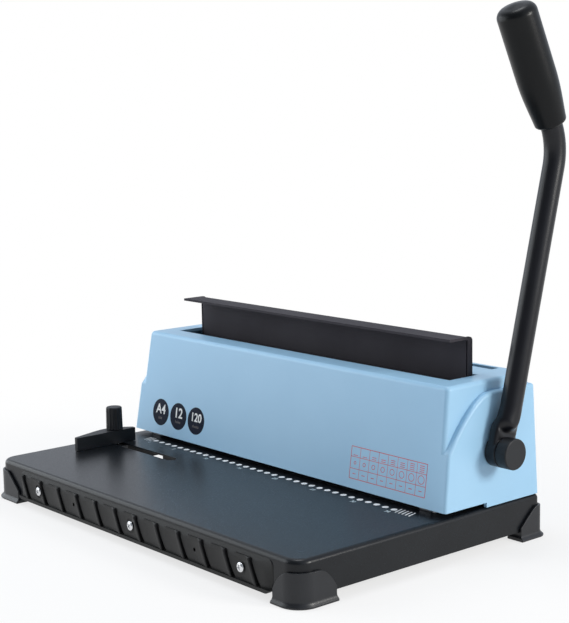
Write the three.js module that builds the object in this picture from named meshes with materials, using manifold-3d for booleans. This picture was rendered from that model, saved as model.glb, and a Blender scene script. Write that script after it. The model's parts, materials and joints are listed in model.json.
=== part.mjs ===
// Wire binding machine: a desk punch and wire closer worked by one side lever.
// Millimetres. X runs to the right, Y to the back and Z up. While the pieces are drawn, heights count
// from the table, depths from the row of hole marks on the platen and widths from the machine's middle.
// At the end the whole group is moved so that the origin is the centre of its box, on the table.
import * as THREE from "three";
import { mergeVertices } from "three/addons/utils/BufferGeometryUtils.js";
import Module from "manifold-3d";

const wasm = await Module();
wasm.setup();

// Clearances and helpers' sizes
const seatGap = 0.3; // between pieces that rest on or are fastened to each other
const runGap = 0.5; // between pieces that slide past each other
const overrun = 6; // how far a cut runs past the face that it opens
const bury = 0.8; // how deep a joined feature sinks into its carrier

// The row of punches, from which the widths run outwards
const holePitch = 8.467; // three to the inch
const holeCount = 34;
const punchRow = 21.5; // behind the hole marks
const punchRadius = 2;
const punchClear = 0.35;
const punchStroke = 8;
const punchTipRise = 1; // tips above the throat's ceiling at rest

// Die, punch guide, paper stop and punch bar
const dieEnd = 22.7; // beyond the last hole
const dieFrontEdge = 9; // from the row of holes
const dieRearEdge = 12.5;
const dieThick = 8;
const dieWindowGap = 0.4;
const dieSink = 0.1;
const guideThick = 12;
const stopMargin = 4.8; // from the row of holes to the paper's edge
const stopDepth = 7;
const stopEnd = 10.3;
const spacerLength = 11;
const barFront = 5;
const barRear = 6;
const barHeight = 12;
const barEndGap = 5.4;
const barClear = 1.2; // left under the bar at full stroke

// Base: folded sheet, open below
const baseProud = 0.4; // beyond the housing at each side
const baseFront = 122.5;
const baseRearProud = 1; // beyond the housing at the back
const platenTop = 30.6;
const skirtHeight = 24.2;
const sheet = 1.5;
const bendRadius = 3.5;
const baseCorner = 12;
const baseRearCorner = 4;

// Corner feet: an angle with one long and one short leg, turned a quarter for each corner
const footLong = 30.7;
const footShort = 21.8;
const footWall = 12; // thickness of the legs under the base's skirt
const footProud = 2;
const footTopDrop = 8;
const gussetRun = 15.5;
const gussetDrop = 13.1;
const gussetBulge = 1.1;
const fullGussetBulge = 2.1; // the front right foot's rounder shoulders
const gussetSteps = 8;
const lipProud = 2.4;
const lipEndProud = 1;
const lipEdge = 1.4;

// Front panel with slanted ribs
const panelThick = 1.6;
const panelTopDrop = 3.6;
const panelBelow = 1.2;
const panelLeftGap = 3.2;
const panelRightGap = 0.6;
const panelCorner = 5;
const panelLipHeight = 2.4;
const panelLipProud = 1.6;
const ribCount = 12;
const ribLeftInset = 7.2; // from the panel's left end to the first rib's crest
const ribRightInset = 20.2;
const ribSlant = 7;
const ribRise = 1.5;
const ribWidth = 15;
const ribSink = 0.4;
const ribTopDrop = 0.8;
const ribBottomRise = 3.2;
const panelScrewInset = 29.5;
const panelScrewDrop = 14.6;
const panelHoleShare = 0.6; // of the way from the middle screw to an outer one
const panelHoleRadius = 1.4;
const panelRecessRadius = 5.2;
const panelScrewHead = 3.4;
const panelScrewHeadHeight = 1.8;
const screwShank = 1.6;
const screwLength = 7;

// Shaft, eccentrics, cranks and the carriages that they move
const shaftBehindRow = 35.5;
const shaftRise = 38.6; // above the platen
const shaftRadius = 6;
const shaftClear = 0.4;
const bushRadius = 9;
const bushFlange = 11;
const bushFlangeThick = 1.5;
const collarLength = 5;
const collarRadius = 10;
const camThick = 6;
const camRadius = 13;
const camInset = 6.6; // from the lifter's inner face
const lifterInset = 10.1; // from the side plate
const lifterThick = 3;
const followClear = 0.45;
const lifterTopRise = 3.5;
const pressStroke = 18;
const crankThick = 6;
const crankInset = 7.5; // from the carrier
const crankPin = 3.5;
const crankWeb = 7.5;
const carrierInset = 7.2; // from the cam
const carrierThick = 3;
const carrierFrontWall = 2.1; // in front of the pin's slot
const carrierWall = 4; // behind the shaft's slot
const carrierTab = 12;
const tabHeight = 6.5;
const springRadius = 5;
const springBehindShaft = 9;
const springEdge = 1;
const springTab = 2.4;

// Frame inside the housing
const sidePlate = 3;
const sidePlateGap = 0.6;
const sidePlateMargin = 3.2; // in front of it, inside the front wall
const tieRadius = 4;
const tieHole = 3;
const frontTieRise = 7.85; // above the lifters
const frontTieEdge = 7; // from the tie to the side plate's top
const rearTieRun = 12; // behind the lifters
const rearTieRise = 29.4; // above the platen
const rearTieEdge = 8;
const jawFrontRun = 16.5; // in front of the shaft
const jawRearRun = 0.5; // behind it
const jawTopDrop = 4.7;
const jawThick = 4;
const jawLip = 9;

// Press plate: folded sheet
const pressEnd = 12.8; // beyond the last hole
const pressRise = 27; // above the housing
const pressSheet = 1.8;
const pressWebRun = 3; // behind the shaft
const pressFlange = 18;
const pressReturn = 4.3;
const pressBelowJaw = 8;
const pressBend = 3;

// Housing: a moulded shell with proud lower sides
const throat = 3.6; // height of the paper gap
const frameEndGap = 2.4; // between the side plates and the shell's ends
const frameRearGap = 10;
const frameTopGap = 11.7;
const housingFrontGap = 14.1; // from the row of punches to the front face's foot
const housingFrontLean = 12.6;
const housingRearLean = 0.6;
const housingSideLean = 4.4; // how much each side draws in from the bottom to the top
const housingWall = 2.5;
const housingEdge = 2;
const stepBeforeShaft = 9; // where the lower edge of the sides steps down to the base
const cheekProud = 4.7;
const ledgeFrontRise = 41.4; // above the platen
const ledgeRearDrop = 7.7; // below the top
const ledgeBehindShaft = 4;
const ledgeEdge = 1.5;
const mouthFrontGap = 2;
const mouthRearGap = 6.5;
const mouthEndGap = 2.5;
const wireSlotInset = 9.2;
const wireSlotWidth = 7.5;
const wireSlotEnd = 9; // beyond the last hole

// Rear cover
const coverThick = 2;
const coverEnd = 10.3; // beyond the last hole
const coverBottomRise = 12; // above the platen
const coverTopDrop = 20.1; // below the housing's top
const coverLap = 8;
const coverScrewInset = 4;
const coverScrewHead = 3;
const coverScrewHeadHeight = 1.6;

// Lever
const hubRadius = 10.75;
const hubLength = 18.8;
const hubMargin = 0.2; // the tongue is narrower than the hub by this at each side
const tongueThick = 9;
const tongueCornerShare = 0.45; // squareness of the tongue's corners, where 1 is round
const hubWallGap = 0.4;
const wallHoleClear = 1.5;
const capSkin = 3; // solid end of the hub cap
const tubeRadius = 7.5;
const leverReach = 211.8; // from the shaft to where the two straight runs would meet
const leverLean = 14.8; // degrees back from upright at rest
const gripLean = 26.1; // degrees forward from upright at rest
const bendSize = 42;
const pinchStart = 18;
const pinchEnd = 36;
const gripLength = 86;
const gripRadius = 13.7;
const gripNeckRadius = 11;
const gripTaperShare = 0.42;
const gripSwellShares = [0.5, 0.6]; // along the taper, and outwards there
const gripRound = 6.5;
const gripNeckRound = 2.2;
const gripDome = 1.1;
const gripSleeveDepth = 60;
const leverSwing = 85;

// Edge guide
const guideEnd = 13.4; // beyond the last hole
const guideLength = 56.1;
const guideFront = 67.3;
const guideHeight = 10.8;
const guideEndThick = 3.6;
const guideWide = 13.2;
const guideEdge = 0.6;
const studInset = 6.6;
const studRadius = 2.5;
const studClear = 0.4;
const slotDepth = 27;
const slotWidth = 8.5;
const slotCorner = 4;
const slotInset = 8.4; // from the base's left side
const slotLength = 95.1;
const knobRadius = 6.8;
const knobTopRadius = 6.5;
const knobHeight = 18.5;
const knobRound = 1.2;
const nutLength = 18;
const nutWidth = 13;
const nutThick = 3;

// Chip tray
const trayEnd = 2.8; // beyond the last hole
const trayFrontGap = 4.5; // in front of the die
const trayBottomRise = 2; // above the skirt's lower edge
const trayWall = 1.5;
const trayFlange = 3;
const trayDieGap = 1.2;
const railThick = 1.6;
const railRun = 3; // behind the die
const trayLip = 3;
const trayLipHalf = 40;

// Widths that follow from the row of punches
const rowHalf = (holePitch * (holeCount - 1)) / 2;
const dieHalf = rowHalf + dieEnd;
const stopHalf = rowHalf + stopEnd;
const coverHalf = rowHalf + coverEnd;
const pressHalf = rowHalf + pressEnd;
const mouthHalf = pressHalf + mouthEndGap;
const wireSlotHalf = rowHalf + wireSlotEnd;
const trayHalf = rowHalf + trayEnd;
const guideFace = rowHalf + guideEnd;
const sideInner = dieHalf + dieWindowGap + sidePlateGap;
const sideOuter = sideInner + sidePlate;
const barHalf = sideInner - barEndGap;
const lifterInner = sideInner - lifterInset;
const camInner = lifterInner - camInset;
const carrierInner = camInner - carrierInset;
const crankInner = carrierInner - crankInset;
const housingUpperHalf = sideOuter + frameEndGap + housingWall;
const housingLowerHalf = housingUpperHalf + housingSideLean + cheekProud;
const baseHalf = housingLowerHalf + baseProud;
const baseWidth = baseHalf * 2;
const slotLeft = baseHalf - slotInset;
const slotRight = slotLeft - slotLength;

// The shaft and what turns on it
const shaftY = punchRow + shaftBehindRow;
const shaftZ = platenTop + shaftRise;
const halfSwing = THREE.MathUtils.degToRad(leverSwing / 2);
const camThrow = punchStroke / 2 / Math.sin(halfSwing);
const crankThrow = pressStroke / 2 / Math.sin(halfSwing);
const camAtRest = {
  y: shaftY - camThrow * Math.cos(halfSwing),
  z: shaftZ + camThrow * Math.sin(halfSwing),
};
const pinAtRest = {
  y: shaftY - crankThrow * Math.cos(halfSwing),
  z: shaftZ + crankThrow * Math.sin(halfSwing),
};

// Depths that follow from the row and the shaft
const dieFront = punchRow - dieFrontEdge;
const dieRear = punchRow + dieRearEdge;
const housingFrontFoot = punchRow - housingFrontGap;
const jawFront = shaftY - jawFrontRun;
const jawRear = shaftY + jawRearRun;
const mouthFront = jawFront - mouthFrontGap;
const pressWebFront = shaftY + pressWebRun;
const pressFlangeFront = pressWebFront - pressFlange;
const webRear = pressWebFront + pressSheet;
const mouthRear = pressWebFront + mouthRearGap;
const housingStepDepth = shaftY - stepBeforeShaft;
const ledgeRearDepth = shaftY + ledgeBehindShaft;
const carrierFront = shaftY - crankThrow - crankPin - runGap - carrierFrontWall;
const springDepth = shaftY + springBehindShaft;
const lifterRear = springDepth + springRadius + springEdge;
const frontTieY = punchRow + barRear + runGap + tieRadius;
const rearTieY = lifterRear + rearTieRun;
const sidePlateRear = rearTieY + rearTieEdge;
const housingRearFoot = sidePlateRear + frameRearGap;
const wireSlotDepth = housingRearFoot - housingRearLean - wireSlotInset;
const baseRear = housingRearFoot + baseRearProud;
const trayFront = dieFront - trayFrontGap;
const railFront = dieRear + railRun;

// Heights that follow from the platen and the lifters
const skirtBottom = platenTop - skirtHeight;
const throatTop = platenTop + throat;
const housingSeat = platenTop + seatGap;
const guideBlockTop = throatTop + guideThick;
const barBottom = guideBlockTop + punchStroke + barClear;
const barTop = barBottom + barHeight;
const lifterTop = camAtRest.z + camRadius + followClear + lifterTopRise;
const frontTieZ = lifterTop + frontTieRise;
const rearTieZ = platenTop + rearTieRise;
const sidePlateTop = frontTieZ + frontTieEdge;
const housingTop = sidePlateTop + frameTopGap;
const coverLow = platenTop + coverBottomRise;
const coverHigh = housingTop - coverTopDrop;
const jawTop = housingTop - jawTopDrop;
const pressTopZ = housingTop + pressRise;
const webBottom = jawTop - jawThick - pressBelowJaw;
const trayTop = platenTop - dieSink - dieThick - trayDieGap;
const trayBottom = skirtBottom + trayBottomRise;

// Materials
function finish(color, roughness, metalness) {
  return new THREE.MeshStandardMaterial({ color, roughness, metalness });
}
const blackPaint = finish(0x2b2d30, 0.45, 0.2);
const blackPlastic = finish(0x1f2124, 0.55, 0);
const blueShell = finish(0x9cc6e4, 0.4, 0);
const brightSteel = finish(0xc9ccd0, 0.3, 0.9);
const plainSteel = finish(0x8d9196, 0.4, 0.85);
const bronze = finish(0xa98245, 0.45, 0.8);
const softGrip = finish(0x26282b, 0.75, 0);

// Solids: closed geometries in, closed geometries out
function solid(geometry) {
  const bare = geometry.clone();
  bare.deleteAttribute("normal");
  bare.deleteAttribute("uv");
  const merged = mergeVertices(bare, 1e-4);
  return new wasm.Manifold(
    new wasm.Mesh({
      numProp: 3,
      vertProperties: new Float32Array(merged.attributes.position.array),
      triVerts: new Uint32Array(merged.index.array),
    }),
  );
}

function surface(body) {
  const mesh = body.getMesh();
  const geometry = new THREE.BufferGeometry();
  geometry.setAttribute("position", new THREE.BufferAttribute(new Float32Array(mesh.vertProperties), 3));
  geometry.setIndex(new THREE.BufferAttribute(new Uint32Array(mesh.triVerts), 1));
  return geometry;
}

function join(first, ...others) {
  return surface(others.reduce((body, other) => body.add(solid(other)), solid(first)));
}

function cut(first, ...others) {
  return surface(others.reduce((body, other) => body.subtract(solid(other)), solid(first)));
}

function common(first, second) {
  return surface(solid(first).intersect(solid(second)));
}

// Shapes between given limits
function block(x0, x1, y0, y1, z0, z1) {
  const geometry = new THREE.BoxGeometry(x1 - x0, y1 - y0, z1 - z0);
  return geometry.translate((x0 + x1) / 2, (y0 + y1) / 2, (z0 + z1) / 2);
}

// A pair of blocks' limits mirrored about the machine's middle
function side(sign, inner, outer) {
  return sign > 0 ? [inner, outer] : [-outer, -inner];
}

function rodX(x0, x1, y, z, radius, sides = 24) {
  const geometry = new THREE.CylinderGeometry(radius, radius, x1 - x0, sides);
  return geometry.rotateZ(-Math.PI / 2).translate((x0 + x1) / 2, y, z);
}

function rodY(x, y0, y1, z, radius, sides = 16) {
  return new THREE.CylinderGeometry(radius, radius, y1 - y0, sides).translate(x, (y0 + y1) / 2, z);
}

function rodZ(x, y, z0, z1, radius, sides = 24) {
  const geometry = new THREE.CylinderGeometry(radius, radius, z1 - z0, sides);
  return geometry.rotateX(Math.PI / 2).translate(x, y, (z0 + z1) / 2);
}

function outline(points) {
  return new THREE.Shape(points.map(([a, b]) => new THREE.Vector2(a, b)));
}

function bevelled(size, segments) {
  return size > 0
    ? {
        bevelEnabled: true,
        bevelSize: size,
        bevelThickness: size,
        bevelOffset: -size,
        bevelSegments: segments,
      }
    : { bevelEnabled: false };
}

// An outline in depth and height, drawn out across the machine from x0 to x1
function acrossX(shape, x0, x1, bevel = 0, segments = 2) {
  const options = { depth: x1 - x0 - 2 * bevel, curveSegments: 6, ...bevelled(bevel, segments) };
  const geometry = new THREE.ExtrudeGeometry(shape, options).translate(0, 0, x0 + bevel);
  const turn = new THREE.Matrix4().makeBasis(
    new THREE.Vector3(0, 1, 0),
    new THREE.Vector3(0, 0, 1),
    new THREE.Vector3(1, 0, 0),
  );
  return geometry.applyMatrix4(turn);
}

// An outline in width and height, drawn out from front to back between y0 and y1
function alongY(shape, y0, y1) {
  const options = { depth: y1 - y0, bevelEnabled: false, curveSegments: 6 };
  const geometry = new THREE.ExtrudeGeometry(shape, options);
  return geometry.rotateX(Math.PI / 2).translate(0, y1, 0);
}

// An outline in plan, drawn upwards from z0 to z1
function upright(shape, z0, z1, bevel = 0, segments = 2) {
  const options = { depth: z1 - z0 - 2 * bevel, curveSegments: 6, ...bevelled(bevel, segments) };
  return new THREE.ExtrudeGeometry(shape, options).translate(0, 0, z0 + bevel);
}

// The second radius is for the corners at the larger y
function roundedRectangle(x0, x1, y0, y1, radius, farRadius = radius) {
  const shape = new THREE.Shape();
  shape.moveTo(x0 + radius, y0);
  shape.lineTo(x1 - radius, y0);
  shape.absarc(x1 - radius, y0 + radius, radius, -Math.PI / 2, 0);
  shape.lineTo(x1, y1 - farRadius);
  shape.absarc(x1 - farRadius, y1 - farRadius, farRadius, 0, Math.PI / 2);
  shape.lineTo(x0 + farRadius, y1);
  shape.absarc(x0 + farRadius, y1 - farRadius, farRadius, Math.PI / 2, Math.PI);
  shape.lineTo(x0, y0 + radius);
  shape.absarc(x0 + radius, y0 + radius, radius, Math.PI, Math.PI * 1.5);
  return shape;
}

// Moves every point of a geometry by a rule
function reshaped(geometry, rule) {
  const place = geometry.attributes.position;
  const point = new THREE.Vector3();
  for (let i = 0; i < place.count; i++) {
    rule(point.fromBufferAttribute(place, i));
    place.setXYZ(i, point.x, point.y, point.z);
  }
  return geometry;
}

// A closed skin over rings of equally many points, first ring to last
function skin(rings) {
  const sides = rings[0].length;
  const points = rings.flat();
  const faces = [];
  for (let r = 0; r + 1 < rings.length; r++)
    for (let i = 0; i < sides; i++) {
      const a = r * sides + i;
      const b = r * sides + ((i + 1) % sides);
      faces.push(a, b, b + sides, a, b + sides, a + sides);
    }
  const last = (rings.length - 1) * sides;
  for (let i = 1; i + 1 < sides; i++) {
    faces.push(0, i + 1, i);
    faces.push(last, last + i, last + i + 1);
  }
  const geometry = new THREE.BufferGeometry().setFromPoints(points);
  geometry.setIndex(faces);
  return geometry;
}

const machine = new THREE.Group();

function piece(name, geometry, material, parent = machine) {
  const mesh = new THREE.Mesh(geometry, material);
  mesh.name = name;
  parent.add(mesh);
  return mesh;
}

const bothSides = [
  ["left", -1],
  ["right", 1],
];

// Base pan

function panBody(inset, top) {
  const shape = roundedRectangle(
    -baseHalf + inset,
    baseHalf - inset,
    -baseFront + inset,
    baseRear - inset,
    baseCorner - inset,
    baseRearCorner - inset,
  );
  const bend = bendRadius - inset;
  const body = upright(shape, skirtBottom - bend - overrun, top, bend, 3);
  const keep = block(-baseWidth, baseWidth, -baseWidth, baseWidth, skirtBottom - inset, top + overrun);
  return common(body, keep);
}

const slotY = { from: -slotDepth - slotWidth / 2, to: -slotDepth + slotWidth / 2 };
const windowHalf = dieHalf + dieWindowGap;
const trayMouthHalf = trayHalf + trayFlange + runGap;
const trayMouthTop = trayTop + runGap;
const panelLeft = -baseHalf + footLong + panelLeftGap;
const panelRight = baseHalf - footShort - panelRightGap;
const panelMiddle = (panelLeft + panelRight) / 2;
const panelScrewPitch = (panelRight - panelLeft) / 2 - panelScrewInset;
const panelScrewPlaces = [-1, 0, 1].map((step) => panelMiddle + step * panelScrewPitch);
const panelScrewZ = platenTop - panelScrewDrop;

function basePan() {
  const holes = panelScrewPlaces.map((x) =>
    rodY(x, -baseFront - overrun, -baseFront + overrun, panelScrewZ, screwShank + seatGap, 12),
  );
  return cut(
    panBody(0, platenTop),
    panBody(sheet, platenTop - sheet),
    upright(
      roundedRectangle(-slotLeft, -slotRight, slotY.from, slotY.to, slotCorner),
      platenTop - overrun,
      platenTop + overrun,
    ),
    block(
      -windowHalf,
      windowHalf,
      dieFront - dieWindowGap,
      dieRear + dieWindowGap,
      platenTop - overrun,
      platenTop + overrun,
    ),
    block(
      -trayMouthHalf,
      trayMouthHalf,
      baseRear - overrun,
      baseRear + overrun,
      skirtBottom - overrun,
      trayMouthTop,
    ),
    ...holes,
  );
}
piece("base_pan", basePan(), blackPaint);

// Corner feet, drawn with the base's corner at the origin and the long leg along +X

function footPlan(spread, endSpread, cornerRadius) {
  const near = -footProud - spread;
  const centre = near + cornerRadius;
  const plan = new THREE.Shape();
  plan.moveTo(centre, near);
  plan.lineTo(footLong + endSpread, near);
  plan.lineTo(footLong + endSpread, footShort + endSpread);
  plan.lineTo(near, footShort + endSpread);
  plan.lineTo(near, centre);
  plan.absarc(centre, centre, cornerRadius, Math.PI, Math.PI * 1.5);
  return plan;
}

// The slanted cut over a leg's end, with a shoulder that bulges upwards
function gussetCut(leg, top, bulge) {
  const shoulder = Array.from({ length: gussetSteps + 1 }, (_, index) => {
    const share = index / gussetSteps;
    return [leg - gussetRun + gussetRun * share, top - gussetDrop * share ** bulge];
  });
  return outline([
    [leg - gussetRun, top + overrun],
    ...shoulder,
    [leg + overrun, top - gussetDrop],
    [leg + overrun, top + overrun],
  ]);
}

function footGeometry(cornerRadius, bulge) {
  const top = platenTop - footTopDrop;
  const outside = cornerRadius + footProud;
  const lip = common(
    upright(footPlan(lipProud, lipEndProud, outside + lipProud), -lipProud, lipEdge + lipProud, lipProud, 1),
    block(-baseWidth, baseWidth, -baseWidth, baseWidth, 0, platenTop),
  );
  const pocket = upright(
    roundedRectangle(-seatGap, baseHalf, -seatGap, baseFront, cornerRadius + seatGap),
    skirtBottom - seatGap,
    platenTop + overrun,
  );
  const inner = footWall - footProud;
  return cut(
    join(upright(footPlan(0, 0, outside), 0, top), lip),
    alongY(gussetCut(footLong, top, bulge), -overrun - footProud, footShort + overrun),
    acrossX(gussetCut(footShort, top, bulge), -overrun - footProud, footLong + overrun),
    block(inner, footLong + overrun, inner, footShort + overrun, -overrun, platenTop),
    pocket,
  );
}

const corners = [
  ["foot_front_left", -baseHalf, -baseFront, baseCorner, gussetBulge],
  ["foot_front_right", baseHalf, -baseFront, baseCorner, fullGussetBulge],
  ["foot_rear_right", baseHalf, baseRear, baseRearCorner, gussetBulge],
  ["foot_rear_left", -baseHalf, baseRear, baseRearCorner, gussetBulge],
];
corners.forEach(([name, x, y, cornerRadius, bulge], index) => {
  const foot = piece(name, footGeometry(cornerRadius, bulge), blackPlastic);
  foot.position.set(x, y, 0);
  foot.rotation.z = (index * Math.PI) / 2;
});

// Front panel: a plate with slanted saw-tooth ribs and a lip along its lower edge

const panelBack = -baseFront - seatGap;
const panelFace = panelBack - panelThick;
const panelTop = platenTop - panelTopDrop;
const panelBottom = skirtBottom - panelBelow;
const ribPitch = (panelRight - panelLeft - ribLeftInset - ribRightInset) / (ribCount - 1);

function ribGeometry(index) {
  const top = panelTop - ribTopDrop;
  const bottom = panelBottom + ribBottomRise;
  const right = panelLeft + ribLeftInset + index * ribPitch;
  const plan = outline([
    [right - ribWidth, panelFace + ribSink],
    [right - ribWidth, panelFace],
    [right, panelFace - ribRise],
    [right, panelFace + ribSink],
  ]);
  const lean = (point) => {
    point.x += (ribSlant * (top - point.z)) / (top - bottom);
  };
  return reshaped(upright(plan, bottom, top), lean);
}

function frontPanel() {
  const face = roundedRectangle(panelLeft, panelRight, panelBottom, panelTop, panelCorner);
  const lip = common(
    alongY(face, panelFace - panelLipProud, panelFace + bury),
    block(-baseWidth, baseWidth, -baseWidth, 0, panelBottom - overrun, panelBottom + panelLipHeight),
  );
  const ribs = Array.from({ length: ribCount }, (_, index) => ribGeometry(index));
  const trim = block(
    panelLeft,
    panelRight,
    panelFace - ribRise - panelLipProud,
    panelBack,
    panelBottom,
    panelTop,
  );
  const recesses = panelScrewPlaces.map((x) =>
    rodY(x, panelFace - overrun, panelFace, panelScrewZ, panelRecessRadius, 20),
  );
  const bores = panelScrewPlaces.map((x) =>
    rodY(x, panelFace - overrun, panelBack + overrun, panelScrewZ, screwShank + seatGap, 12),
  );
  const spareHoles = [-1, 1].map((step) =>
    rodY(
      panelMiddle + step * panelScrewPitch * panelHoleShare,
      panelFace - overrun,
      panelBack + overrun,
      panelScrewZ,
      panelHoleRadius,
      10,
    ),
  );
  const plate = join(alongY(face, panelFace, panelBack), lip, ...ribs);
  return cut(common(plate, trim), ...recesses, ...bores, ...spareHoles);
}
piece("front_panel", frontPanel(), blackPlastic);

// Pan-head screws: head towards -Y, shank towards +Y, drawn from the head's seat at the origin.
// The crown is flat to a share of the radius, and its shoulder lies at shares of radius and height.
const crownShare = 0.62;
const shoulderShares = [0.94, 0.55];
function screwGeometry(headRadius, headHeight, length) {
  const profile = [
    [0, -headHeight],
    [headRadius * crownShare, -headHeight],
    [headRadius * shoulderShares[0], -headHeight * shoulderShares[1]],
    [headRadius, 0],
    [screwShank, 0],
    [screwShank, length],
    [0, length],
  ].map(([radius, along]) => new THREE.Vector2(radius, along));
  return new THREE.LatheGeometry(profile, 16);
}
panelScrewPlaces.forEach((x, index) => {
  const screw = piece(
    `panel_screw_${index + 1}`,
    screwGeometry(panelScrewHead, panelScrewHeadHeight, screwLength),
    brightSteel,
  );
  screw.position.set(x, panelFace - seatGap, panelScrewZ);
});

// Housing shell

const leanHeight = housingTop - housingSeat;

function frontFace(z) {
  return housingFrontFoot + (housingFrontLean * (z - throatTop)) / (housingTop - throatTop);
}

function rearFace(z) {
  return housingRearFoot - (housingRearLean * (z - housingSeat)) / leanHeight;
}

// Side profile of the tall body, drawn in by an inset
function bodyProfile(inset, low) {
  const top = housingTop - inset;
  const edge = housingEdge;
  return outline([
    [frontFace(low) + inset, low],
    [rearFace(low) - inset, low],
    [rearFace(top - edge) - inset, top - edge],
    [rearFace(top) - inset - edge, top],
    [frontFace(top) + inset + edge, top],
    [frontFace(top - edge) + inset, top - edge],
  ]);
}

// Side profile of the proud lower sides, whose upper edge sweeps up towards the back
const ledgeShares = [
  [0, 0],
  [0.078, 0.122],
  [0.189, 0.319],
  [0.392, 0.603],
  [0.598, 0.832],
  [0.77, 0.954],
  [0.9, 0.99],
  [1, 1],
];
function lowerProfile(inset, low) {
  const start = { y: frontFace(platenTop + ledgeFrontRise), z: platenTop + ledgeFrontRise };
  const end = { y: ledgeRearDepth, z: housingTop - ledgeRearDrop };
  const sweep = ledgeShares.map(([along, up]) => [
    start.y + along * (end.y - start.y) + inset,
    start.z + up * (end.z - start.z) - inset,
  ]);
  return outline([
    [frontFace(low) + inset, low],
    [rearFace(low) - inset, low],
    [rearFace(end.z - inset) - inset, end.z - inset],
    ...sweep.reverse(),
    [frontFace(start.z - inset - ledgeEdge) + inset, start.z - inset - ledgeEdge],
  ]);
}

// Draws the sides in towards the top
function drawnIn(half) {
  return (point) => {
    point.x *= 1 - (housingSideLean * (point.z - throatTop)) / (leanHeight * half);
  };
}

function housingSolid(inset, low) {
  const upperHalf = housingUpperHalf + housingSideLean;
  const bevel = housingEdge - inset / 2;
  const upper = reshaped(
    acrossX(bodyProfile(inset, low), -upperHalf + inset, upperHalf - inset, bevel, 2),
    drawnIn(upperHalf),
  );
  const lower = reshaped(
    acrossX(lowerProfile(inset, low), -housingLowerHalf + inset, housingLowerHalf - inset, ledgeEdge, 2),
    drawnIn(housingLowerHalf),
  );
  return join(upper, lower);
}

// How far from the middle the outside of the proud side stands at a height
function cheekFace(z) {
  return housingLowerHalf - (housingSideLean * (z - throatTop)) / leanHeight;
}

const coverScrewPlaces = [-1, 1].flatMap((sign) =>
  [coverLow + coverScrewInset, coverHigh - coverScrewInset].map((z) => ({
    x: sign * (coverHalf - coverScrewInset),
    z,
  })),
);
const rearLean = Math.atan(housingRearLean / leanHeight);

// Rods square to the leaning rear wall
function rearRods(radius) {
  return coverScrewPlaces.map(({ x, z }) =>
    rodY(0, -overrun, overrun, 0, radius, 10).rotateX(rearLean).translate(x, rearFace(z), z),
  );
}

function housingShell() {
  const low = housingSeat - ledgeEdge - housingEdge;
  const belowSeat = block(
    -baseWidth,
    baseWidth,
    -baseWidth,
    baseWidth,
    low - housingWall - overrun,
    housingSeat,
  );
  const throatCut = block(
    -baseWidth,
    baseWidth,
    -baseWidth,
    housingStepDepth,
    low - housingWall - overrun,
    throatTop,
  );
  const mouth = block(
    -mouthHalf,
    mouthHalf,
    mouthFront,
    mouthRear,
    housingTop - housingWall - overrun,
    housingTop + overrun,
  );
  const wireSlot = block(
    -wireSlotHalf,
    wireSlotHalf,
    wireSlotDepth - wireSlotWidth / 2,
    wireSlotDepth + wireSlotWidth / 2,
    housingTop - housingWall - overrun,
    housingTop + overrun,
  );
  const serviceHole = block(
    -coverHalf + coverLap,
    coverHalf - coverLap,
    rearFace(housingTop) - housingWall - overrun,
    housingRearFoot + overrun,
    coverLow + coverLap,
    coverHigh - coverLap,
  );
  const shaftHole = rodX(
    housingUpperHalf - overrun,
    housingLowerHalf + overrun,
    shaftY,
    shaftZ,
    shaftRadius + wallHoleClear,
  );
  return cut(
    housingSolid(0, low),
    housingSolid(housingWall, low - housingWall),
    belowSeat,
    throatCut,
    mouth,
    wireSlot,
    serviceHole,
    shaftHole,
    ...rearRods(screwShank + seatGap),
  );
}
piece("housing_shell", housingShell(), blueShell);

// Rear cover: a plate on the outside of the rear wall

function rearCover() {
  const inner = seatGap;
  const outer = seatGap + coverThick;
  const plate = outline([
    [rearFace(coverLow) + inner, coverLow],
    [rearFace(coverLow) + outer, coverLow],
    [rearFace(coverHigh) + outer, coverHigh],
    [rearFace(coverHigh) + inner, coverHigh],
  ]);
  return cut(acrossX(plate, -coverHalf, coverHalf), ...rearRods(screwShank + seatGap));
}
piece("rear_cover", rearCover(), blueShell);
coverScrewPlaces.forEach(({ x, z }, index) => {
  const screw = piece(
    `cover_screw_${index + 1}`,
    screwGeometry(coverScrewHead, coverScrewHeadHeight, screwLength).rotateZ(Math.PI),
    brightSteel,
  );
  screw.position.set(x, rearFace(z) + 2 * seatGap + coverThick, z);
  screw.rotation.x = rearLean;
});

// Side plates of the inner frame

function sidePlateGeometry(sign) {
  const margin = housingWall + sidePlateMargin;
  const plan = outline([
    [frontFace(housingSeat) + margin, housingSeat],
    [sidePlateRear, housingSeat],
    [sidePlateRear, sidePlateTop],
    [frontFace(sidePlateTop) + margin, sidePlateTop],
  ]);
  const [x0, x1] = side(sign, sideInner, sideOuter);
  return cut(
    acrossX(plan, x0, x1),
    rodX(x0 - overrun, x1 + overrun, shaftY, shaftZ, bushRadius + seatGap),
    rodX(x0 - overrun, x1 + overrun, frontTieY, frontTieZ, tieHole + seatGap, 16),
    rodX(x0 - overrun, x1 + overrun, rearTieY, rearTieZ, tieHole + seatGap, 16),
  );
}

// Shaft bush: a flanged ring whose flange lies on the inner side of its plate
function bushGeometry(sign) {
  const [f0, f1] = side(sign, sideInner - seatGap - bushFlangeThick, sideInner - seatGap);
  const [b0, b1] = side(sign, sideInner - seatGap - bury, sideOuter + seatGap);
  return cut(
    join(rodX(f0, f1, shaftY, shaftZ, bushFlange), rodX(b0, b1, shaftY, shaftZ, bushRadius)),
    rodX(f0 - overrun, f1 + overrun, shaftY, shaftZ, shaftRadius + shaftClear),
  );
}
for (const [name, sign] of bothSides) {
  piece(`side_plate_${name}`, sidePlateGeometry(sign), plainSteel);
  piece(`shaft_bush_${name}`, bushGeometry(sign), bronze);
}

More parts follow.
